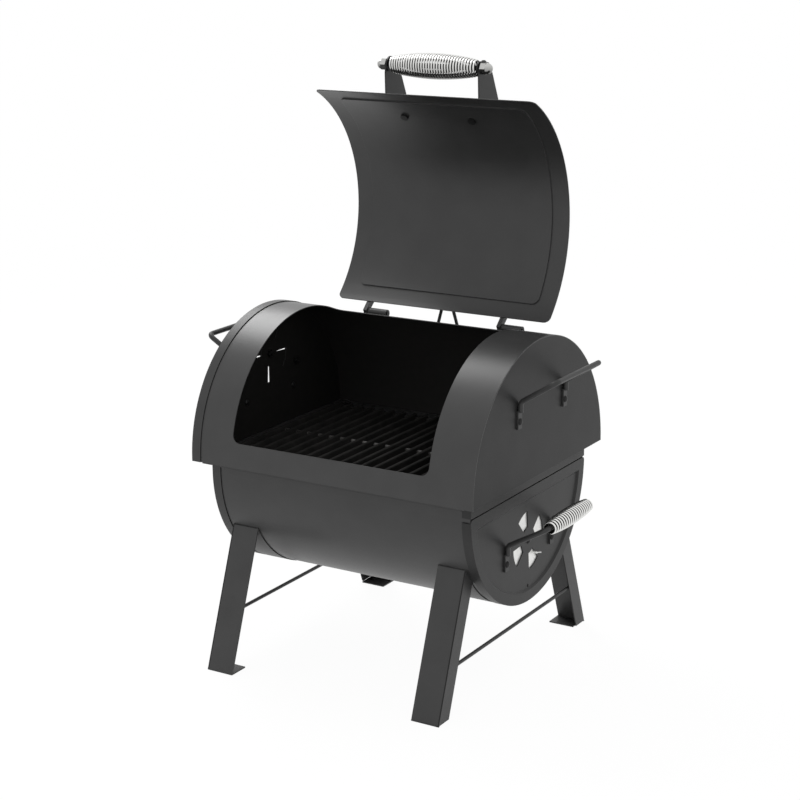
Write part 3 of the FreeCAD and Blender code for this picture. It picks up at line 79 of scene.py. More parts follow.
def placeCamera(setup):
    az, el, roll = [math.radians(setup[angle]) for angle in ("azimuth", "elevation", "roll")]
    back = Vector((math.sin(az) * math.cos(el), -math.cos(az) * math.cos(el), math.sin(el)))
    level = Vector((math.cos(az), math.sin(az), 0))
    plumb = back.cross(level)
    right = level * math.cos(roll) + plumb * math.sin(roll)
    up = plumb * math.cos(roll) - level * math.sin(roll)
    data = bpy.data.cameras.new("studioCamera")
    data.lens = setup["lens"]
    data.sensor_width = 36
    data.clip_end = 100
    eye = bpy.data.objects.new("studioCamera", data)
    turn = Matrix((right, up, back)).transposed().to_4x4()
    eye.matrix_world = Matrix.Translation(Vector(setup["target"]) + back * setup["distance"]) @ turn
    bpy.context.scene.collection.objects.link(eye)
    bpy.context.scene.camera = eye


placeCamera(camera)
bpy.context.scene.view_settings.view_transform = "Standard"
print("camera placed")


def seenByEye(tree):
    # 1 for rays that show the background: camera, mirror and glass rays
    path = addNode(tree, "ShaderNodeLightPath")
    both = addNode(tree, "ShaderNodeMath", {"operation": "MAXIMUM"},
                   {0: path.outputs["Is Camera Ray"], 1: path.outputs["Is Glossy Ray"]})
    return addNode(tree, "ShaderNodeMath", {"operation": "MAXIMUM"},
                   {0: both.outputs[0], 1: path.outputs["Is Transmission Ray"]}).outputs[0]


room = {"colour": "#ffffff", "strength": 1.0,
        "floorSize": 60.0, "floorColour": "#ffffff", "floorShadow": 0.05}


def buildRoom(setup):
    # a white room: the world lights the grill and shows as white behind it
    world = bpy.data.worlds.new("whiteRoom")
    bpy.context.scene.world = world
    world.use_nodes = True
    tree = world.node_tree
    tree.nodes.clear()
    light = addNode(tree, "ShaderNodeBackground", None,
                    {"Color": linear(setup["colour"]), "Strength": setup["strength"]})
    white = addNode(tree, "ShaderNodeBackground", None, {"Color": (1, 1, 1, 1), "Strength": 1.0})
    mix = addNode(tree, "ShaderNodeMixShader", None,
                  {0: seenByEye(tree), 1: light.outputs[0], 2: white.outputs[0]})
    addNode(tree, "ShaderNodeOutputWorld", None, {"Surface": mix.outputs[0]})


def layFloor(setup):
    # a pale floor that shows white and keeps a faint shadow
    half = setup["floorSize"] / 2
    mesh = bpy.data.meshes.new("studioFloor")
    mesh.from_pydata([(-half, -half, 0), (half, -half, 0), (half, half, 0), (-half, half, 0)],
                     [], [(0, 1, 2, 3)])
    floor = bpy.data.objects.new("studioFloor", mesh)
    bpy.context.scene.collection.objects.link(floor)
    material = bpy.data.materials.new("paleFloor")
    material.use_nodes = True
    tree = material.node_tree
    tree.nodes.clear()
    card = addNode(tree, "ShaderNodeBsdfDiffuse", None, {"Color": linear(setup["floorColour"])})
    glow = addNode(tree, "ShaderNodeEmission", None, {"Color": (1, 1, 1, 1), "Strength": 1.0})
    bare = addNode(tree, "ShaderNodeMath", {"operation": "MULTIPLY"},
                   {0: seenByEye(tree), 1: 1 - setup["floorShadow"]})
    mix = addNode(tree, "ShaderNodeMixShader", None,
                  {0: bare.outputs[0], 1: card.outputs[0], 2: glow.outputs[0]})
    addNode(tree, "ShaderNodeOutputMaterial", None, {"Surface": mix.outputs[0]})
    mesh.materials.append(material)


buildRoom(room)
layFloor(room)

softbox = {"spot": (-1.07, 0.54, 1.835), "aim": (0.0, 0.0, 0.4), "along": (0.45, -0.64, 0.62),
           "long": 1.5, "short": 0.65, "power": 20.5}


def hangSoftbox(setup):
    # one long softbox behind the left shoulder, which draws the sheen along the top of the hood
    data = bpy.data.lights.new("softbox", "AREA")
    data.shape = "RECTANGLE"
    data.size, data.size_y = setup["long"], setup["short"]
    data.energy = setup["power"]
    spot = Vector(setup["spot"])
    away = (spot - Vector(setup["aim"])).normalized()
    along = Vector(setup["along"])
    along = (along - away * along.dot(away)).normalized()
    turn = Matrix((along, away.cross(along), away)).transposed().to_4x4()
    lamp = bpy.data.objects.new("softbox", data)
    lamp.matrix_world = Matrix.Translation(spot) @ turn
    lamp.visible_camera = False
    bpy.context.scene.collection.objects.link(lamp)


hangSoftbox(softbox)
print("studio built")


def startMaterial(name, setup):
    material = bpy.data.materials.new(name)
    material.use_nodes = True
    tree = material.node_tree
    tree.nodes.clear()
    shader = addNode(tree, "ShaderNodeBsdfPrincipled", None, setup["shader"])
    addNode(tree, "ShaderNodeOutputMaterial", None, {"Surface": shader.outputs[0]})
    place = addNode(tree, "ShaderNodeTexCoord").outputs["Object"]
    return material, tree, shader, place


# a noise keeps mostly between the first two values, and its clouds are cut at the second two
noiseSpan = {"From Min": 0.30, "From Max": 0.70}
cloudSpan = {"From Min": 0.35, "From Max": 0.65}

# the enamel's grit is about 0.3 mm and is drawn at 1.2 mm, so that it shows
rolled = {"shader": {"IOR": 1.5, "Specular IOR Level": 0.5}, "dark": "#272727", "light": "#2b2b2b",
          "roughness": (0.34, 0.41), "mottle": 0.05, "edge": 0.0009,
          "grit": 0.0012, "gritBump": {"Strength": 0.10, "Distance": 0.00006},
          "peel": 0.006, "peelBump": {"Strength": 0.08, "Distance": 0.0004}}
# pressed: a duller copy of the enamel with a lighter base, toned to the light on the flat pieces: painted
# light and shade
pressed = dict(rolled, shader={"IOR": 1.5, "Specular IOR Level": 0.28}, dark="#313131", light="#353535",
               roughness=(0.37, 0.44), edge=0.0007)
# painted shadow on the legs' flange edges: its colour, how deep from the side face, and how end-on the face
# must be
edgeShadow = {"colour": "#0c0c0c", "depth": 0.0021, "endOn": 0.6}


def shadowEdge(tree, place, colour, flangeOut):
    # painted shadow: a dark line on a leg's flange edge, the outermost sheet thickness away from its side
    # face, where the gap behind the flange lies in shade
    spot = addNode(tree, "ShaderNodeSeparateXYZ", None, {0: place})
    apart = addNode(tree, "ShaderNodeMath", {"operation": "ABSOLUTE"}, {0: spot.outputs["X"]})
    outer = addNode(tree, "ShaderNodeMath", {"operation": "GREATER_THAN"},
                    {0: apart.outputs[0], 1: flangeOut - edgeShadow["depth"]})
    facing = addNode(tree, "ShaderNodeSeparateXYZ", None,
                     {0: addNode(tree, "ShaderNodeTexCoord").outputs["Normal"]})
    sideways = addNode(tree, "ShaderNodeMath", {"operation": "ABSOLUTE"}, {0: facing.outputs["X"]})
    endOn = addNode(tree, "ShaderNodeMath", {"operation": "LESS_THAN"},
                    {0: sideways.outputs[0], 1: edgeShadow["endOn"]})
    edge = addNode(tree, "ShaderNodeMath", {"operation": "MULTIPLY"},
                   {0: outer.outputs[0], 1: endOn.outputs[0]})
    return addNode(tree, "ShaderNodeMix", {"data_type": "RGBA"},
                   {"Factor": edge.outputs[0], 6: colour, 7: linear(edgeShadow["colour"])}).outputs[2]


def makeEnamel(name, setup, flangeOut=None):
    # high-heat silicone enamel, sprayed on sheet steel and baked: satin black, a faint orange peel
    material, tree, shader, place = startMaterial(name, setup)
    cloud = addNode(tree, "ShaderNodeTexNoise", None,
                    {"Vector": place, "Scale": 1 / setup["mottle"], "Detail": 3.0})
    mottle = addNode(tree, "ShaderNodeMapRange", None, {**cloudSpan, "Value": cloud.outputs["Fac"]})
    coat = addNode(tree, "ShaderNodeMix", {"data_type": "RGBA"},
                   {"Factor": mottle.outputs[0], 6: linear(setup["dark"]), 7: linear(setup["light"])})
    colour = coat.outputs[2]
    # painted shadow along the legs' flange edges
    if flangeOut:
        colour = shadowEdge(tree, place, colour, flangeOut)
    tree.links.new(colour, shader.inputs["Base Color"])
    grit = addNode(tree, "ShaderNodeTexNoise", None,
                   {"Vector": place, "Scale": 1 / setup["grit"], "Detail": 1.0})
    low, high = setup["roughness"]
    gleam = addNode(tree, "ShaderNodeMapRange", None,
                    {**noiseSpan, "Value": grit.outputs["Fac"], "To Min": low, "To Max": high})
    tree.links.new(gleam.outputs[0], shader.inputs["Roughness"])
    rounded = addNode(tree, "ShaderNodeBevel", {"samples": 4}, {"Radius": setup["edge"]})
    peel = addNode(tree, "ShaderNodeTexNoise", None,
                   {"Vector": place, "Scale": 1 / setup["peel"], "Detail": 1.0})
    waves = addNode(tree, "ShaderNodeBump", None,
                    {**setup["peelBump"], "Height": peel.outputs["Fac"], "Normal": rounded.outputs[0]})
    specks = addNode(tree, "ShaderNodeBump", None,
                     {**setup["gritBump"], "Height": grit.outputs["Fac"], "Normal": waves.outputs[0]})
    tree.links.new(specks.outputs[0], shader.inputs["Normal"])
    return material


# painted shade inside the chambers: a dark, dull coat; the end walls, which take more light from the opening,
# get a darker copy
roofShade = {"shader": {"IOR": 1.5, "Specular IOR Level": 0.10, "Roughness": 0.75},
            "dark": "#222121", "light": "#282726", "cloud": 0.012,
            "flake": 0.0015, "flakeBump": {"Strength": 0.15, "Distance": 0.0001}}
endShade = dict(roofShade, shader={"IOR": 1.5, "Specular IOR Level": 0.05, "Roughness": 0.82},
               dark="#1a1a19", light="#222120")


def makeInnerShade(name, setup):
    # painted shade over the enamel inside the chambers: dark, dull, velvety, in soft clouds
    material, tree, shader, place = startMaterial(name, setup)
    cloud = addNode(tree, "ShaderNodeTexNoise", None,
                    {"Vector": place, "Scale": 1 / setup["cloud"], "Detail": 4.0})
    film = addNode(tree, "ShaderNodeMix", {"data_type": "RGBA"},
                   {"Factor": cloud.outputs["Fac"], 6: linear(setup["dark"]), 7: linear(setup["light"])})
    tree.links.new(film.outputs[2], shader.inputs["Base Color"])
    flakes = addNode(tree, "ShaderNodeTexNoise", None,
                     {"Vector": place, "Scale": 1 / setup["flake"], "Detail": 2.0})
    skin = addNode(tree, "ShaderNodeBump", None, {**setup["flakeBump"], "Height": flakes.outputs["Fac"]})
    tree.links.new(skin.outputs[0], shader.inputs["Normal"])
    return material


# the casting sand is about 0.4 mm and is drawn at 1.8 mm, so that it shows
seasoned = {"shader": {"IOR": 1.5, "Specular IOR Level": 0.12}, "dark": "#1c1c1b", "light": "#272625",
            "roughness": (0.66, 0.91), "cloud": 0.03, "edge": 0.0012,
            "sand": 0.0018, "sandBump": {"Strength": 0.35, "Distance": 0.0003}}
# painted highlight: a lighter, glossier copy of the iron for the middle rib
ribHighlight = dict(seasoned, shader={"IOR": 1.5, "Specular IOR Level": 0.5}, dark="#2e2d2c", light="#4a4947",
               roughness=(0.33, 0.58))


def makeIron(name, setup):
    # sand-cast iron with a baked oil seasoning: near black, slightly greasy, pitted skin
    material, tree, shader, place = startMaterial(name, setup)
    cloud = addNode(tree, "ShaderNodeTexNoise", None,
                    {"Vector": place, "Scale": 1 / setup["cloud"], "Detail": 4.0})
    stain = addNode(tree, "ShaderNodeMapRange", None, {**cloudSpan, "Value": cloud.outputs["Fac"]})
    skin = addNode(tree, "ShaderNodeMix", {"data_type": "RGBA"},
                   {"Factor": stain.outputs[0], 6: linear(setup["dark"]), 7: linear(setup["light"])})
    tree.links.new(skin.outputs[2], shader.inputs["Base Color"])
    sand = addNode(tree, "ShaderNodeTexNoise", None,
                   {"Vector": place, "Scale": 1 / setup["sand"], "Detail": 2.0})
    low, high = setup["roughness"]
    gleam = addNode(tree, "ShaderNodeMapRange", None,
                    {**noiseSpan, "Value": sand.outputs["Fac"], "To Min": low, "To Max": high})
    tree.links.new(gleam.outputs[0], shader.inputs["Roughness"])
    rounded = addNode(tree, "ShaderNodeBevel", {"samples": 4}, {"Radius": setup["edge"]})
    pits = addNode(tree, "ShaderNodeBump", None,
                   {**setup["sandBump"], "Height": sand.outputs["Fac"], "Normal": rounded.outputs[0]})
    tree.links.new(pits.outputs[0], shader.inputs["Normal"])
    return material


# painted shade on the faces turned down: how far down and up a face points where it starts and ends, and what
# brightness it leaves
# painted shade between the turns of wire: how far out on a turn it starts and ends, bright beyond
# the plate's own colour, and the dark colour that the painted shade mixes in
plated = {"shader": {"Metallic": 1.0}, "colour": "#e6e6e4", "shadeColour": "#141312", "roughness": (0.07, 0.20),
          "haze": 0.004, "hazeBump": {"Strength": 0.03, "Distance": 0.0001}}
# acorn nuts: a darker copy of the plate, painted shade, with painted shade on the faces turned down as well
acornPlate = dict(plated, colour="#bebebc", roughness=(0.15, 0.28), underShade=(-0.8, 0.6, 0.30))
drawerWire = dict(plated, gapShade=(0.38, 0.80))
lidWire = dict(drawerWire, underShade=(-0.9, 0.4, 0.32))


def makeChrome(name, setup):
    # drawn spring wire and nuts, nickel and chrome plated: mirror bright with a thin haze
    material, tree, shader, place = startMaterial(name, setup)
    haze = addNode(tree, "ShaderNodeTexNoise", None,
                   {"Vector": place, "Scale": 1 / setup["haze"], "Detail": 3.0})
    low, high = setup["roughness"]
    gleam = addNode(tree, "ShaderNodeMapRange", None,
                    {**noiseSpan, "Value": haze.outputs["Fac"], "To Min": low, "To Max": high})
    tree.links.new(gleam.outputs[0], shader.inputs["Roughness"])
    bright = 1.0
    if "underShade" in setup:
        # painted shade: the faces turned down are darkened towards the dark colour, those turned up stay
        # bright
        down, up, least = setup["underShade"]
        facing = addNode(tree, "ShaderNodeSeparateXYZ", None,
                         {0: addNode(tree, "ShaderNodeTexCoord").outputs["Normal"]})
        bright = addNode(tree, "ShaderNodeMapRange", None,
                         {"Value": facing.outputs["Z"], "From Min": down, "From Max": up, "To Min": least,
                          "To Max": 1.0}).outputs[0]
    if "gapShade" in setup:
        # painted shade between the turns: only the outer side of each turn stays bright
        inner, outer = setup["gapShade"]
        crown = addNode(tree, "ShaderNodeAttribute", {"attribute_name": "crown"})
        gapShade = addNode(tree, "ShaderNodeMapRange", {"interpolation_type": "SMOOTHSTEP"},
                         {"Value": crown.outputs["Fac"], "From Min": inner, "From Max": outer})
        bright = addNode(tree, "ShaderNodeMath", {"operation": "MULTIPLY"},
                         {0: gapShade.outputs[0], 1: bright}).outputs[0]
    plate = addNode(tree, "ShaderNodeMix", {"data_type": "RGBA"},
                    {"Factor": bright, 6: linear(setup["shadeColour"]), 7: linear(setup["colour"])})
    tree.links.new(plate.outputs[2], shader.inputs["Base Color"])
    ripple = addNode(tree, "ShaderNodeBump", None, {**setup["hazeBump"], "Height": haze.outputs["Fac"]})
    tree.links.new(ripple.outputs[0], shader.inputs["Normal"])
    return material


zinc = {"shader": {"Metallic": 0.6}, "dark": "#dededc", "light": "#eeeeec", "roughness": (0.32, 0.44),
        "spangle": 0.006, "edge": 0.0004, "grain": 0.0015,
        "grainBump": {"Strength": 0.05, "Distance": 0.00005}}


def makeZinc(name, setup):
    # bright zinc-coated steel sheet: pale, softly reflecting, with a small spangle
    material, tree, shader, place = startMaterial(name, setup)
    spangle = addNode(tree, "ShaderNodeTexVoronoi", None, {"Vector": place, "Scale": 1 / setup["spangle"]})
    grey = addNode(tree, "ShaderNodeRGBToBW", None, {"Color": spangle.outputs["Color"]})
    plate = addNode(tree, "ShaderNodeMix", {"data_type": "RGBA"},
                    {"Factor": grey.outputs[0], 6: linear(setup["dark"]), 7: linear(setup["light"])})
    tree.links.new(plate.outputs[2], shader.inputs["Base Color"])
    low, high = setup["roughness"]
    gleam = addNode(tree, "ShaderNodeMapRange", None,
                    {"Value": grey.outputs[0], "To Min": low, "To Max": high})
    tree.links.new(gleam.outputs[0], shader.inputs["Roughness"])
    rounded = addNode(tree, "ShaderNodeBevel", {"samples": 4}, {"Radius": setup["edge"]})
    grain = addNode(tree, "ShaderNodeTexNoise", None, {"Vector": place, "Scale": 1 / setup["grain"]})
    skin = addNode(tree, "ShaderNodeBump", None,
                   {**setup["grainBump"], "Height": grain.outputs["Fac"], "Normal": rounded.outputs[0]})
    tree.links.new(skin.outputs[0], shader.inputs["Normal"])
    return material


# the tooling marks are about 0.1 mm and are drawn at 0.6 mm, so that they show
oxide = {"shader": {"Metallic": 0.5}, "dark": "#151515", "light": "#222222", "roughness": (0.38, 0.55),
         "cloud": 0.004, "edge": 0.0004, "tooling": 0.0006,
         "toolingBump": {"Strength": 0.10, "Distance": 0.00004}}


def makeOxide(name, setup):
    # black oxide on bolts, pins and bent rods: dark, slightly oily, fine tooling marks
    material, tree, shader, place = startMaterial(name, setup)
    cloud = addNode(tree, "ShaderNodeTexNoise", None,
                    {"Vector": place, "Scale": 1 / setup["cloud"], "Detail": 3.0})
    skin = addNode(tree, "ShaderNodeMix", {"data_type": "RGBA"},
                   {"Factor": cloud.outputs["Fac"], 6: linear(setup["dark"]), 7: linear(setup["light"])})
    tree.links.new(skin.outputs[2], shader.inputs["Base Color"])
    low, high = setup["roughness"]
    gleam = addNode(tree, "ShaderNodeMapRange", None,
                    {**noiseSpan, "Value": cloud.outputs["Fac"], "To Min": low, "To Max": high})
    tree.links.new(gleam.outputs[0], shader.inputs["Roughness"])
    rounded = addNode(tree, "ShaderNodeBevel", {"samples": 4}, {"Radius": setup["edge"]})
    tooling = addNode(tree, "ShaderNodeTexNoise", None, {"Vector": place, "Scale": 1 / setup["tooling"]})
    marks = addNode(tree, "ShaderNodeBump", None,
                    {**setup["toolingBump"], "Height": tooling.outputs["Fac"], "Normal": rounded.outputs[0]})
    tree.links.new(marks.outputs[0], shader.inputs["Normal"])
    return material


# the rolling streaks are 3 mm apart and 20 times as long
panSheet = {"shader": {"Metallic": 0.7}, "dark": "#2a2928", "light": "#3c3b3a", "roughness": (0.42, 0.60),
            "edge": 0.0005, "streak": 0.003, "stretch": 20.0,
            "streakBump": {"Strength": 0.06, "Distance": 0.00005}}


def makePanSteel(name, setup):
    # plain cold-rolled sheet inside the drawer: dull grey, drawn along its length
    material, tree, shader, place = startMaterial(name, setup)
    drawn = addNode(tree, "ShaderNodeMapping", None, {"Vector": place, "Scale": (1 / setup["stretch"], 1, 1)})
    streak = addNode(tree, "ShaderNodeTexNoise", None,
                     {"Vector": drawn.outputs[0], "Scale": 1 / setup["streak"], "Detail": 4.0})
    skin = addNode(tree, "ShaderNodeMix", {"data_type": "RGBA"},
                   {"Factor": streak.outputs["Fac"], 6: linear(setup["dark"]), 7: linear(setup["light"])})
    tree.links.new(skin.outputs[2], shader.inputs["Base Color"])
    low, high = setup["roughness"]
    gleam = addNode(tree, "ShaderNodeMapRange", None,
                    {**noiseSpan, "Value": streak.outputs["Fac"], "To Min": low, "To Max": high})
    tree.links.new(gleam.outputs[0], shader.inputs["Roughness"])
    rounded = addNode(tree, "ShaderNodeBevel", {"samples": 4}, {"Radius": setup["edge"]})
    lines = addNode(tree, "ShaderNodeBump", None,
                    {**setup["streakBump"], "Height": streak.outputs["Fac"], "Normal": rounded.outputs[0]})
    tree.links.new(lines.outputs[0], shader.inputs["Normal"])
    return material


finishes = {"black_steel": makeEnamel("highHeatEnamelSatin", pressed),
            "cast_iron": makeIron("seasonedCastIron", seasoned),
            "bright_steel": makeChrome("chromePlate", acornPlate),
            "zinc_steel": makeZinc("zincPlatedSheet", zinc),
            "blackened_steel": makeOxide("blackOxideSteel", oxide),
            "pan_steel": makePanSteel("coldRolledSheet", panSheet)}

# the pieces whose coat differs a little from the rest: the nodes, and what differs. Each is a copy of the one
# enamel, made lighter or darker and given more or less sheen to match how light falls on that piece: painted
# light and shade
hoodCoat = dict(rolled, dark="#292929", light="#2d2d2d")
lidCoat = dict(rolled, dark="#252525", light="#292929")
# painted shade: the right end plate is darker and duller than the rest
shadedSideCoat = dict(pressed, shader={"IOR": 1.5, "Specular IOR Level": 0.18}, dark="#202020", light="#242424")
foldedCoat = dict(pressed, shader={"IOR": 1.5, "Specular IOR Level": 0.23}, dark="#272727", light="#2b2b2b")
legCoat = dict(pressed, dark="#353535", light="#393939")
folded = ["drawer_front", "cross_strip", "lid_bracket_left", "lid_bracket_right"]
legs = ["leg_front_left", "leg_front_right", "leg_back_left", "leg_back_right"]
legOut = corners("leg_front_right")[1].x

ownFinishes = {"hood_shell": makeEnamel("highHeatEnamelHood", hoodCoat),
               "lid_panel": makeEnamel("highHeatEnamelLid", lidCoat),
               "lower_barrel": makeEnamel("highHeatEnamelBarrel", rolled),
               "hood_right_end": makeEnamel("highHeatEnamelSide", shadedSideCoat),
               "lid_handle_rod": finishes["blackened_steel"]}
ownFinishes.update(dict.fromkeys(folded, makeEnamel("highHeatEnamelFolded", foldedCoat)))
ownFinishes.update(dict.fromkeys(legs, makeEnamel("highHeatEnamelLegs", legCoat, legOut)))

for part in frame["record"]["subparts"]:
    node = nodes[part["node"]]
    node.data.materials.clear()
    node.data.materials.append(ownFinishes.get(part["node"], finishes[part["material_slot"]]))
print("materials set on", len(nodes), "nodes")

innerShade = {"thin": 0.1, "facing": 0.5}


def shadeInside(cadNode, axis, shadeCoat):
    # painted shade: the faces that look towards the middle of the chamber take the dark coat
    mesh = nodes[cadNode].data
    mesh.materials.append(shadeCoat)
    low, high = corners(cadNode)
    isEnd = high.x - low.x < innerShade["thin"]
    for face in mesh.polygons:
        spoke = Vector((0, face.center.y, face.center.z - axis)).normalized()
        inward = -spoke.dot(face.normal)
        outSide = 1 if face.center.x > 0 else -1
        sideways = -outSide * face.normal.x if isEnd else 0
        face.material_index = 1 if max(inward, sideways) > innerShade["facing"] else 0


hoodLow, hoodHigh = corners("hood_shell")
barrelLow, barrelHigh = corners("lower_barrel")
hoodAxis = hoodHigh.z - (hoodHigh.y - hoodLow.y) / 2
barrelAxis = barrelLow.z + (barrelHigh.y - barrelLow.y) / 2
roofShadeCoat = makeInnerShade("paintedShadeRoof", roofShade)
endShadeCoat = makeInnerShade("paintedShadeEnd", endShade)
# painted shade on the inner faces of the hood, barrel and end walls
shadeInside("hood_shell", hoodAxis, roofShadeCoat)
shadeInside("lower_barrel", barrelAxis, roofShadeCoat)
shadeInside("barrel_left_end", barrelAxis, endShadeCoat)
for cadNode in ("hood_left_end", "hood_right_end", "hood_damper"):
    shadeInside(cadNode, hoodAxis, endShadeCoat)
print("chambers darkened")


def startTree(name, inputs):
    # an empty Geometry Nodes tree with one geometry in, one out and named inputs
    tree = bpy.data.node_groups.new(name, "GeometryNodeTree")
    for way in ("INPUT", "OUTPUT"):
        tree.interface.new_socket("Geometry", in_out=way, socket_type="NodeSocketGeometry")
    for label, kind in inputs.items():
        tree.interface.new_socket(label, in_out="INPUT", socket_type="NodeSocket" + kind)
    return tree, addNode(tree, "NodeGroupInput").outputs


def endTree(tree, shape, material):
    real = addNode(tree, "GeometryNodeRealizeInstances", None, {"Geometry": shape})
    done = addNode(tree, "GeometryNodeSetMaterial", None, {"Geometry": real.outputs[0], "Material": material})
    addNode(tree, "NodeGroupOutput", None, {"Geometry": done.outputs[0]})


def runTree(name, tree, settings, mesh=None):
    # the tree's shape as a plain mesh, with no modifier left
    carrier = bpy.data.objects.new(name + "Seed", mesh or bpy.data.meshes.new(name + "Seed"))
    bpy.context.scene.collection.objects.link(carrier)
    modifier = carrier.modifiers.new("shape", "NODES")
    modifier.node_group = tree
    for item in tree.interface.items_tree:
        if item.item_type == "SOCKET" and item.in_out == "INPUT" and item.name in settings:
            modifier[item.identifier] = settings[item.name]
    depsgraph = bpy.context.evaluated_depsgraph_get()
    plain = bpy.data.meshes.new_from_object(carrier.evaluated_get(depsgraph))
    bpy.data.objects.remove(carrier)
    return plain


def placePiece(name, mesh, body, cadNode):
    piece = bpy.data.objects.new(name, mesh)
    bpy.context.scene.collection.objects.link(piece)
    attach(piece, body)
    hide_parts(cadNode)


# bar: half widths and how deep they lie under the crest, from the shoulder to the ridge
grate = {"bars": 11, "pitch": 0.02085, "first": 0.008, "rise": 0.0035, "clearance": 0.0001, "foot": 0.0042,
         "bar": ((0.0028, 0.0015), (0.0013, 0.0003), (0.00052, 0.0)), "tip": 0.0015, "tipShare": 0.6,
         "rib": 0.0032, "ribSides": 16, "ribDrop": 0.0050, "ribOut": 0.161, "sharpFrom": 40}


def castBar(setup, profile, along, turned):
    # one closed bar with blunt tips: (across, up) points drawn along Y, or along X when turned
    start, end = along
    tip, share = setup["tip"], setup["tipShare"]
    heights = [up for side, up in profile]
    middle = (min(heights) + max(heights)) / 2
    build = bmesh.new()
    rings = []
    for reach, size in ((start, share), (start + tip, 1.0), (end - tip, 1.0), (end, share)):
        spots = [(side * size, reach, middle + (up - middle) * size) for side, up in profile]
        rings.append([build.verts.new((y, x, z) if turned else (x, y, z)) for x, y, z in spots])
    for one, two in zip(rings, rings[1:]):
        for i in range(len(profile)):
            j = (i + 1) % len(profile)
            build.faces.new((one[i], one[j], two[j], two[i]))
    build.faces.new(rings[0])
    build.faces.new(rings[-1][::-1])
    bmesh.ops.recalc_face_normals(build, faces=build.faces)
    mesh = bpy.data.meshes.new("castBar")
    build.to_mesh(mesh)
    build.free()
    return mesh


def rowTree():
    # one casting repeated in a straight row
    tree, given = startTree("castRow", {"Count": "Int", "First": "Vector", "Step": "Vector",
                                        "Material": "Material"})
    row = addNode(tree, "GeometryNodeMeshLine", None,
                  {"Count": given["Count"], "Start Location": given["First"], "Offset": given["Step"]})
    castings = addNode(tree, "GeometryNodeInstanceOnPoints", None,
                       {"Points": row.outputs[0], "Instance": given["Geometry"]})
    endTree(tree, castings.outputs[0], given["Material"])
    return tree


def castGrate(name, cadNode, setup, row, iron, ribIron):
    # tapered bars from front to back on three round ribs, cast in one; the middle rib is glossier and painted
    # lighter, its lighter colour a painted highlight
    low, high = corners(cadNode)
    side = 1 if low.x > 0 else -1
    top = high.z + setup["rise"]
    half = [(setup["foot"], low.z + setup["clearance"])]
    half += [(wide, top - deep) for wide, deep in setup["bar"]]
    bar = castBar(setup, half + [(-wide, up) for wide, up in reversed(half)], (low.y, high.y), False)

    rod, sides = setup["rib"], setup["ribSides"]
    axis = top - setup["ribDrop"] - rod
    ring = [(rod * math.sin(math.tau * i / sides), axis - rod * math.cos(math.tau * i / sides))
            for i in range(sides)]
    last = setup["first"] + (setup["bars"] - 1) * setup["pitch"]
    rib = castBar(setup, ring, sorted((side * setup["first"], side * last)), True)

    out = setup["ribOut"]
    bars = runTree("bars", row, {"Count": setup["bars"], "First": (side * setup["first"], 0.0, 0.0),
                                 "Step": (side * setup["pitch"], 0.0, 0.0), "Material": iron}, bar)
    endRibs = runTree("endRibs", row, {"Count": 2, "First": (0.0, -out, 0.0), "Step": (0.0, 2 * out, 0.0),
                                       "Material": iron}, rib)
    middleRib = runTree("middleRib", row, {"Count": 1, "Material": ribIron}, rib)

    build = bmesh.new()
    for index, casting in ((0, bars), (0, endRibs), (1, middleRib)):
        before = len(build.faces)
        build.from_mesh(casting)
        for face in list(build.faces)[before:]:
            face.material_index = index
    mesh = bpy.data.meshes.new(name)
    build.to_mesh(mesh)
    build.free()
    for material in (iron, ribIron):
        mesh.materials.append(material)
    mesh.shade_smooth()
    mesh.set_sharp_from_angle(angle=math.radians(setup["sharpFrom"]))
    placePiece(name, mesh, "frame", cadNode)


castRow = rowTree()
ribHighlightIron = makeIron("castIronRibHighlight", ribHighlight)
castGrate("grateBarsLeft", "grate_left", grate, castRow, finishes["cast_iron"], ribHighlightIron)
castGrate("grateBarsRight", "grate_right", grate, castRow, finishes["cast_iron"], ribHighlightIron)
print("grates cast")


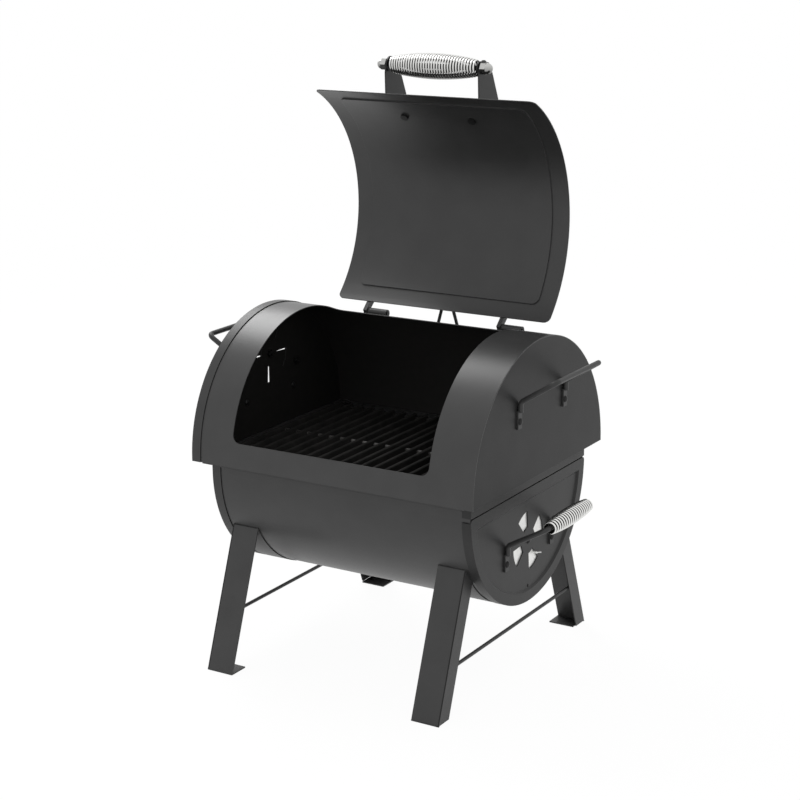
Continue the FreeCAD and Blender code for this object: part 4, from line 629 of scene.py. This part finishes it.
def windingTree():
    # a helix of wire along X whose radius swells towards the middle, then turned and carried to its place
    tree, given = startTree("windWire", {
        "Turns": "Float", "Steps Per Turn": "Float", "Wire Sides": "Int", "Half Length": "Float",
        "Middle Radius": "Float", "End Radius": "Float", "Wire Radius": "Float", "Swell": "Float",
        "Turn": "Vector", "Centre": "Vector", "Material": "Material"})
    plus, minus = {"operation": "ADD"}, {"operation": "SUBTRACT"}
    times, over = {"operation": "MULTIPLY"}, {"operation": "DIVIDE"}

    def outerRadius(along):
        # the coil's outer radius, from -0.5 at one end to 0.5 at the other
        swing = addNode(tree, "ShaderNodeMath", times, {0: along, 1: math.pi})
        bow = addNode(tree, "ShaderNodeMath", {"operation": "COSINE"}, {0: swing.outputs[0]})
        arch = addNode(tree, "ShaderNodeMath", {"operation": "MAXIMUM"}, {0: bow.outputs[0], 1: 0.0})
        belly = addNode(tree, "ShaderNodeMath", {"operation": "POWER"},
                        {0: arch.outputs[0], 1: given["Swell"]})
        rise = addNode(tree, "ShaderNodeMath", minus, {0: given["Middle Radius"], 1: given["End Radius"]})
        swell = addNode(tree, "ShaderNodeMath", times, {0: rise.outputs[0], 1: belly.outputs[0]})
        return addNode(tree, "ShaderNodeMath", plus, {0: given["End Radius"], 1: swell.outputs[0]}).outputs[0]

    steps = addNode(tree, "ShaderNodeMath", times, {0: given["Turns"], 1: given["Steps Per Turn"]})
    points = addNode(tree, "ShaderNodeMath", plus, {0: steps.outputs[0], 1: 1.0})
    line = addNode(tree, "GeometryNodeMeshLine", None, {"Count": points.outputs[0]})
    index = addNode(tree, "GeometryNodeInputIndex")
    share = addNode(tree, "ShaderNodeMath", over, {0: index.outputs[0], 1: steps.outputs[0]})
    along = addNode(tree, "ShaderNodeMath", minus, {0: share.outputs[0], 1: 0.5})
    turns = addNode(tree, "ShaderNodeMath", times, {0: share.outputs[0], 1: given["Turns"]})
    angle = addNode(tree, "ShaderNodeMath", times, {0: turns.outputs[0], 1: math.tau})
    radius = addNode(tree, "ShaderNodeMath", minus,
                     {0: outerRadius(along.outputs[0]), 1: given["Wire Radius"]})
    inset = addNode(tree, "ShaderNodeMath", minus, {0: given["Half Length"], 1: given["Wire Radius"]})
    run = addNode(tree, "ShaderNodeMath", times, {0: inset.outputs[0], 1: 2.0})
    x = addNode(tree, "ShaderNodeMath", times, {0: along.outputs[0], 1: run.outputs[0]})
    cosine = addNode(tree, "ShaderNodeMath", {"operation": "COSINE"}, {0: angle.outputs[0]})
    y = addNode(tree, "ShaderNodeMath", times, {0: radius.outputs[0], 1: cosine.outputs[0]})
    sine = addNode(tree, "ShaderNodeMath", {"operation": "SINE"}, {0: angle.outputs[0]})
    z = addNode(tree, "ShaderNodeMath", times, {0: radius.outputs[0], 1: sine.outputs[0]})
    spot = addNode(tree, "ShaderNodeCombineXYZ", None, {0: x.outputs[0], 1: y.outputs[0], 2: z.outputs[0]})
    laid = addNode(tree, "GeometryNodeSetPosition", None,
                   {"Geometry": line.outputs[0], "Position": spot.outputs[0]})
    path = addNode(tree, "GeometryNodeMeshToCurve", None, {"Mesh": laid.outputs[0]})
    ring = addNode(tree, "GeometryNodeCurvePrimitiveCircle", None,
                   {"Resolution": given["Wire Sides"], "Radius": given["Wire Radius"]})
    wire = addNode(tree, "GeometryNodeCurveToMesh", None,
                   {"Curve": path.outputs[0], "Profile Curve": ring.outputs[0], "Fill Caps": True})

    # crown: 0 on the inner side of a turn and 1 on its outer side
    here = addNode(tree, "GeometryNodeInputPosition")
    where = addNode(tree, "ShaderNodeSeparateXYZ", None, {0: here.outputs[0]})
    flat = addNode(tree, "ShaderNodeCombineXYZ", None, {1: where.outputs["Y"], 2: where.outputs["Z"]})
    fromAxis = addNode(tree, "ShaderNodeVectorMath", {"operation": "LENGTH"}, {0: flat.outputs[0]})
    there = addNode(tree, "ShaderNodeMath", over, {0: where.outputs["X"], 1: run.outputs[0]})
    under = addNode(tree, "ShaderNodeMath", minus,
                    {0: outerRadius(there.outputs[0]), 1: fromAxis.outputs["Value"]})
    thick = addNode(tree, "ShaderNodeMath", times, {0: given["Wire Radius"], 1: 2.0})
    depth = addNode(tree, "ShaderNodeMath", over, {0: under.outputs[0], 1: thick.outputs[0]})
    crown = addNode(tree, "ShaderNodeMath", minus, {0: 1.0, 1: depth.outputs[0]})
    marked = addNode(tree, "GeometryNodeStoreNamedAttribute", {"data_type": "FLOAT", "domain": "POINT"},
                     {"Geometry": wire.outputs[0], "Name": "crown", "Value": crown.outputs[0]})
    smooth = addNode(tree, "GeometryNodeSetShadeSmooth", None, {"Geometry": marked.outputs[0]})
    turned = addNode(tree, "GeometryNodeTransform", None,
                     {"Geometry": smooth.outputs[0], "Rotation": given["Turn"],
                      "Translation": given["Centre"]})
    endTree(tree, turned.outputs[0], given["Material"])
    return tree


# slack: how much shorter than its seat the coil is wound
lidGrip = {"turns": 33, "middleRadius": 0.0198, "endRadius": 0.0122, "wireRadius": 0.0015, "swell": 0.75,
           "slack": 0.0025, "steps": 28, "wireSides": 12}
drawerGrip = dict(lidGrip, turns=20, middleRadius=0.0135, endRadius=0.0096, wireRadius=0.0016, slack=0.0010)


def windGrip(name, cadNode, body, setup, axis, tree, material):
    low, high = corners(cadNode)
    low[axis] += setup["slack"]  # the coil lies against the washer at its far end
    wire = runTree(name, tree, {
        "Turns": float(setup["turns"]), "Steps Per Turn": float(setup["steps"]),
        "Wire Sides": setup["wireSides"], "Half Length": (high[axis] - low[axis]) / 2,
        "Middle Radius": setup["middleRadius"], "End Radius": setup["endRadius"],
        "Wire Radius": setup["wireRadius"], "Swell": setup["swell"],
        "Turn": (0.0, 0.0, math.pi / 2 if axis == 1 else 0.0), "Centre": tuple((low + high) / 2),
        "Material": material})
    placePiece(name, wire, body, cadNode)


winding = windingTree()
windGrip("lidGripWire", "lid_grip_coil", "lid", lidGrip, 0, winding, makeChrome("chromeWireLid", lidWire))
windGrip("drawerGripWire", "drawer_grip_coil", "drawer", drawerGrip, 1, winding,
         makeChrome("chromeWireDrawer", drawerWire))
print("grips wound")
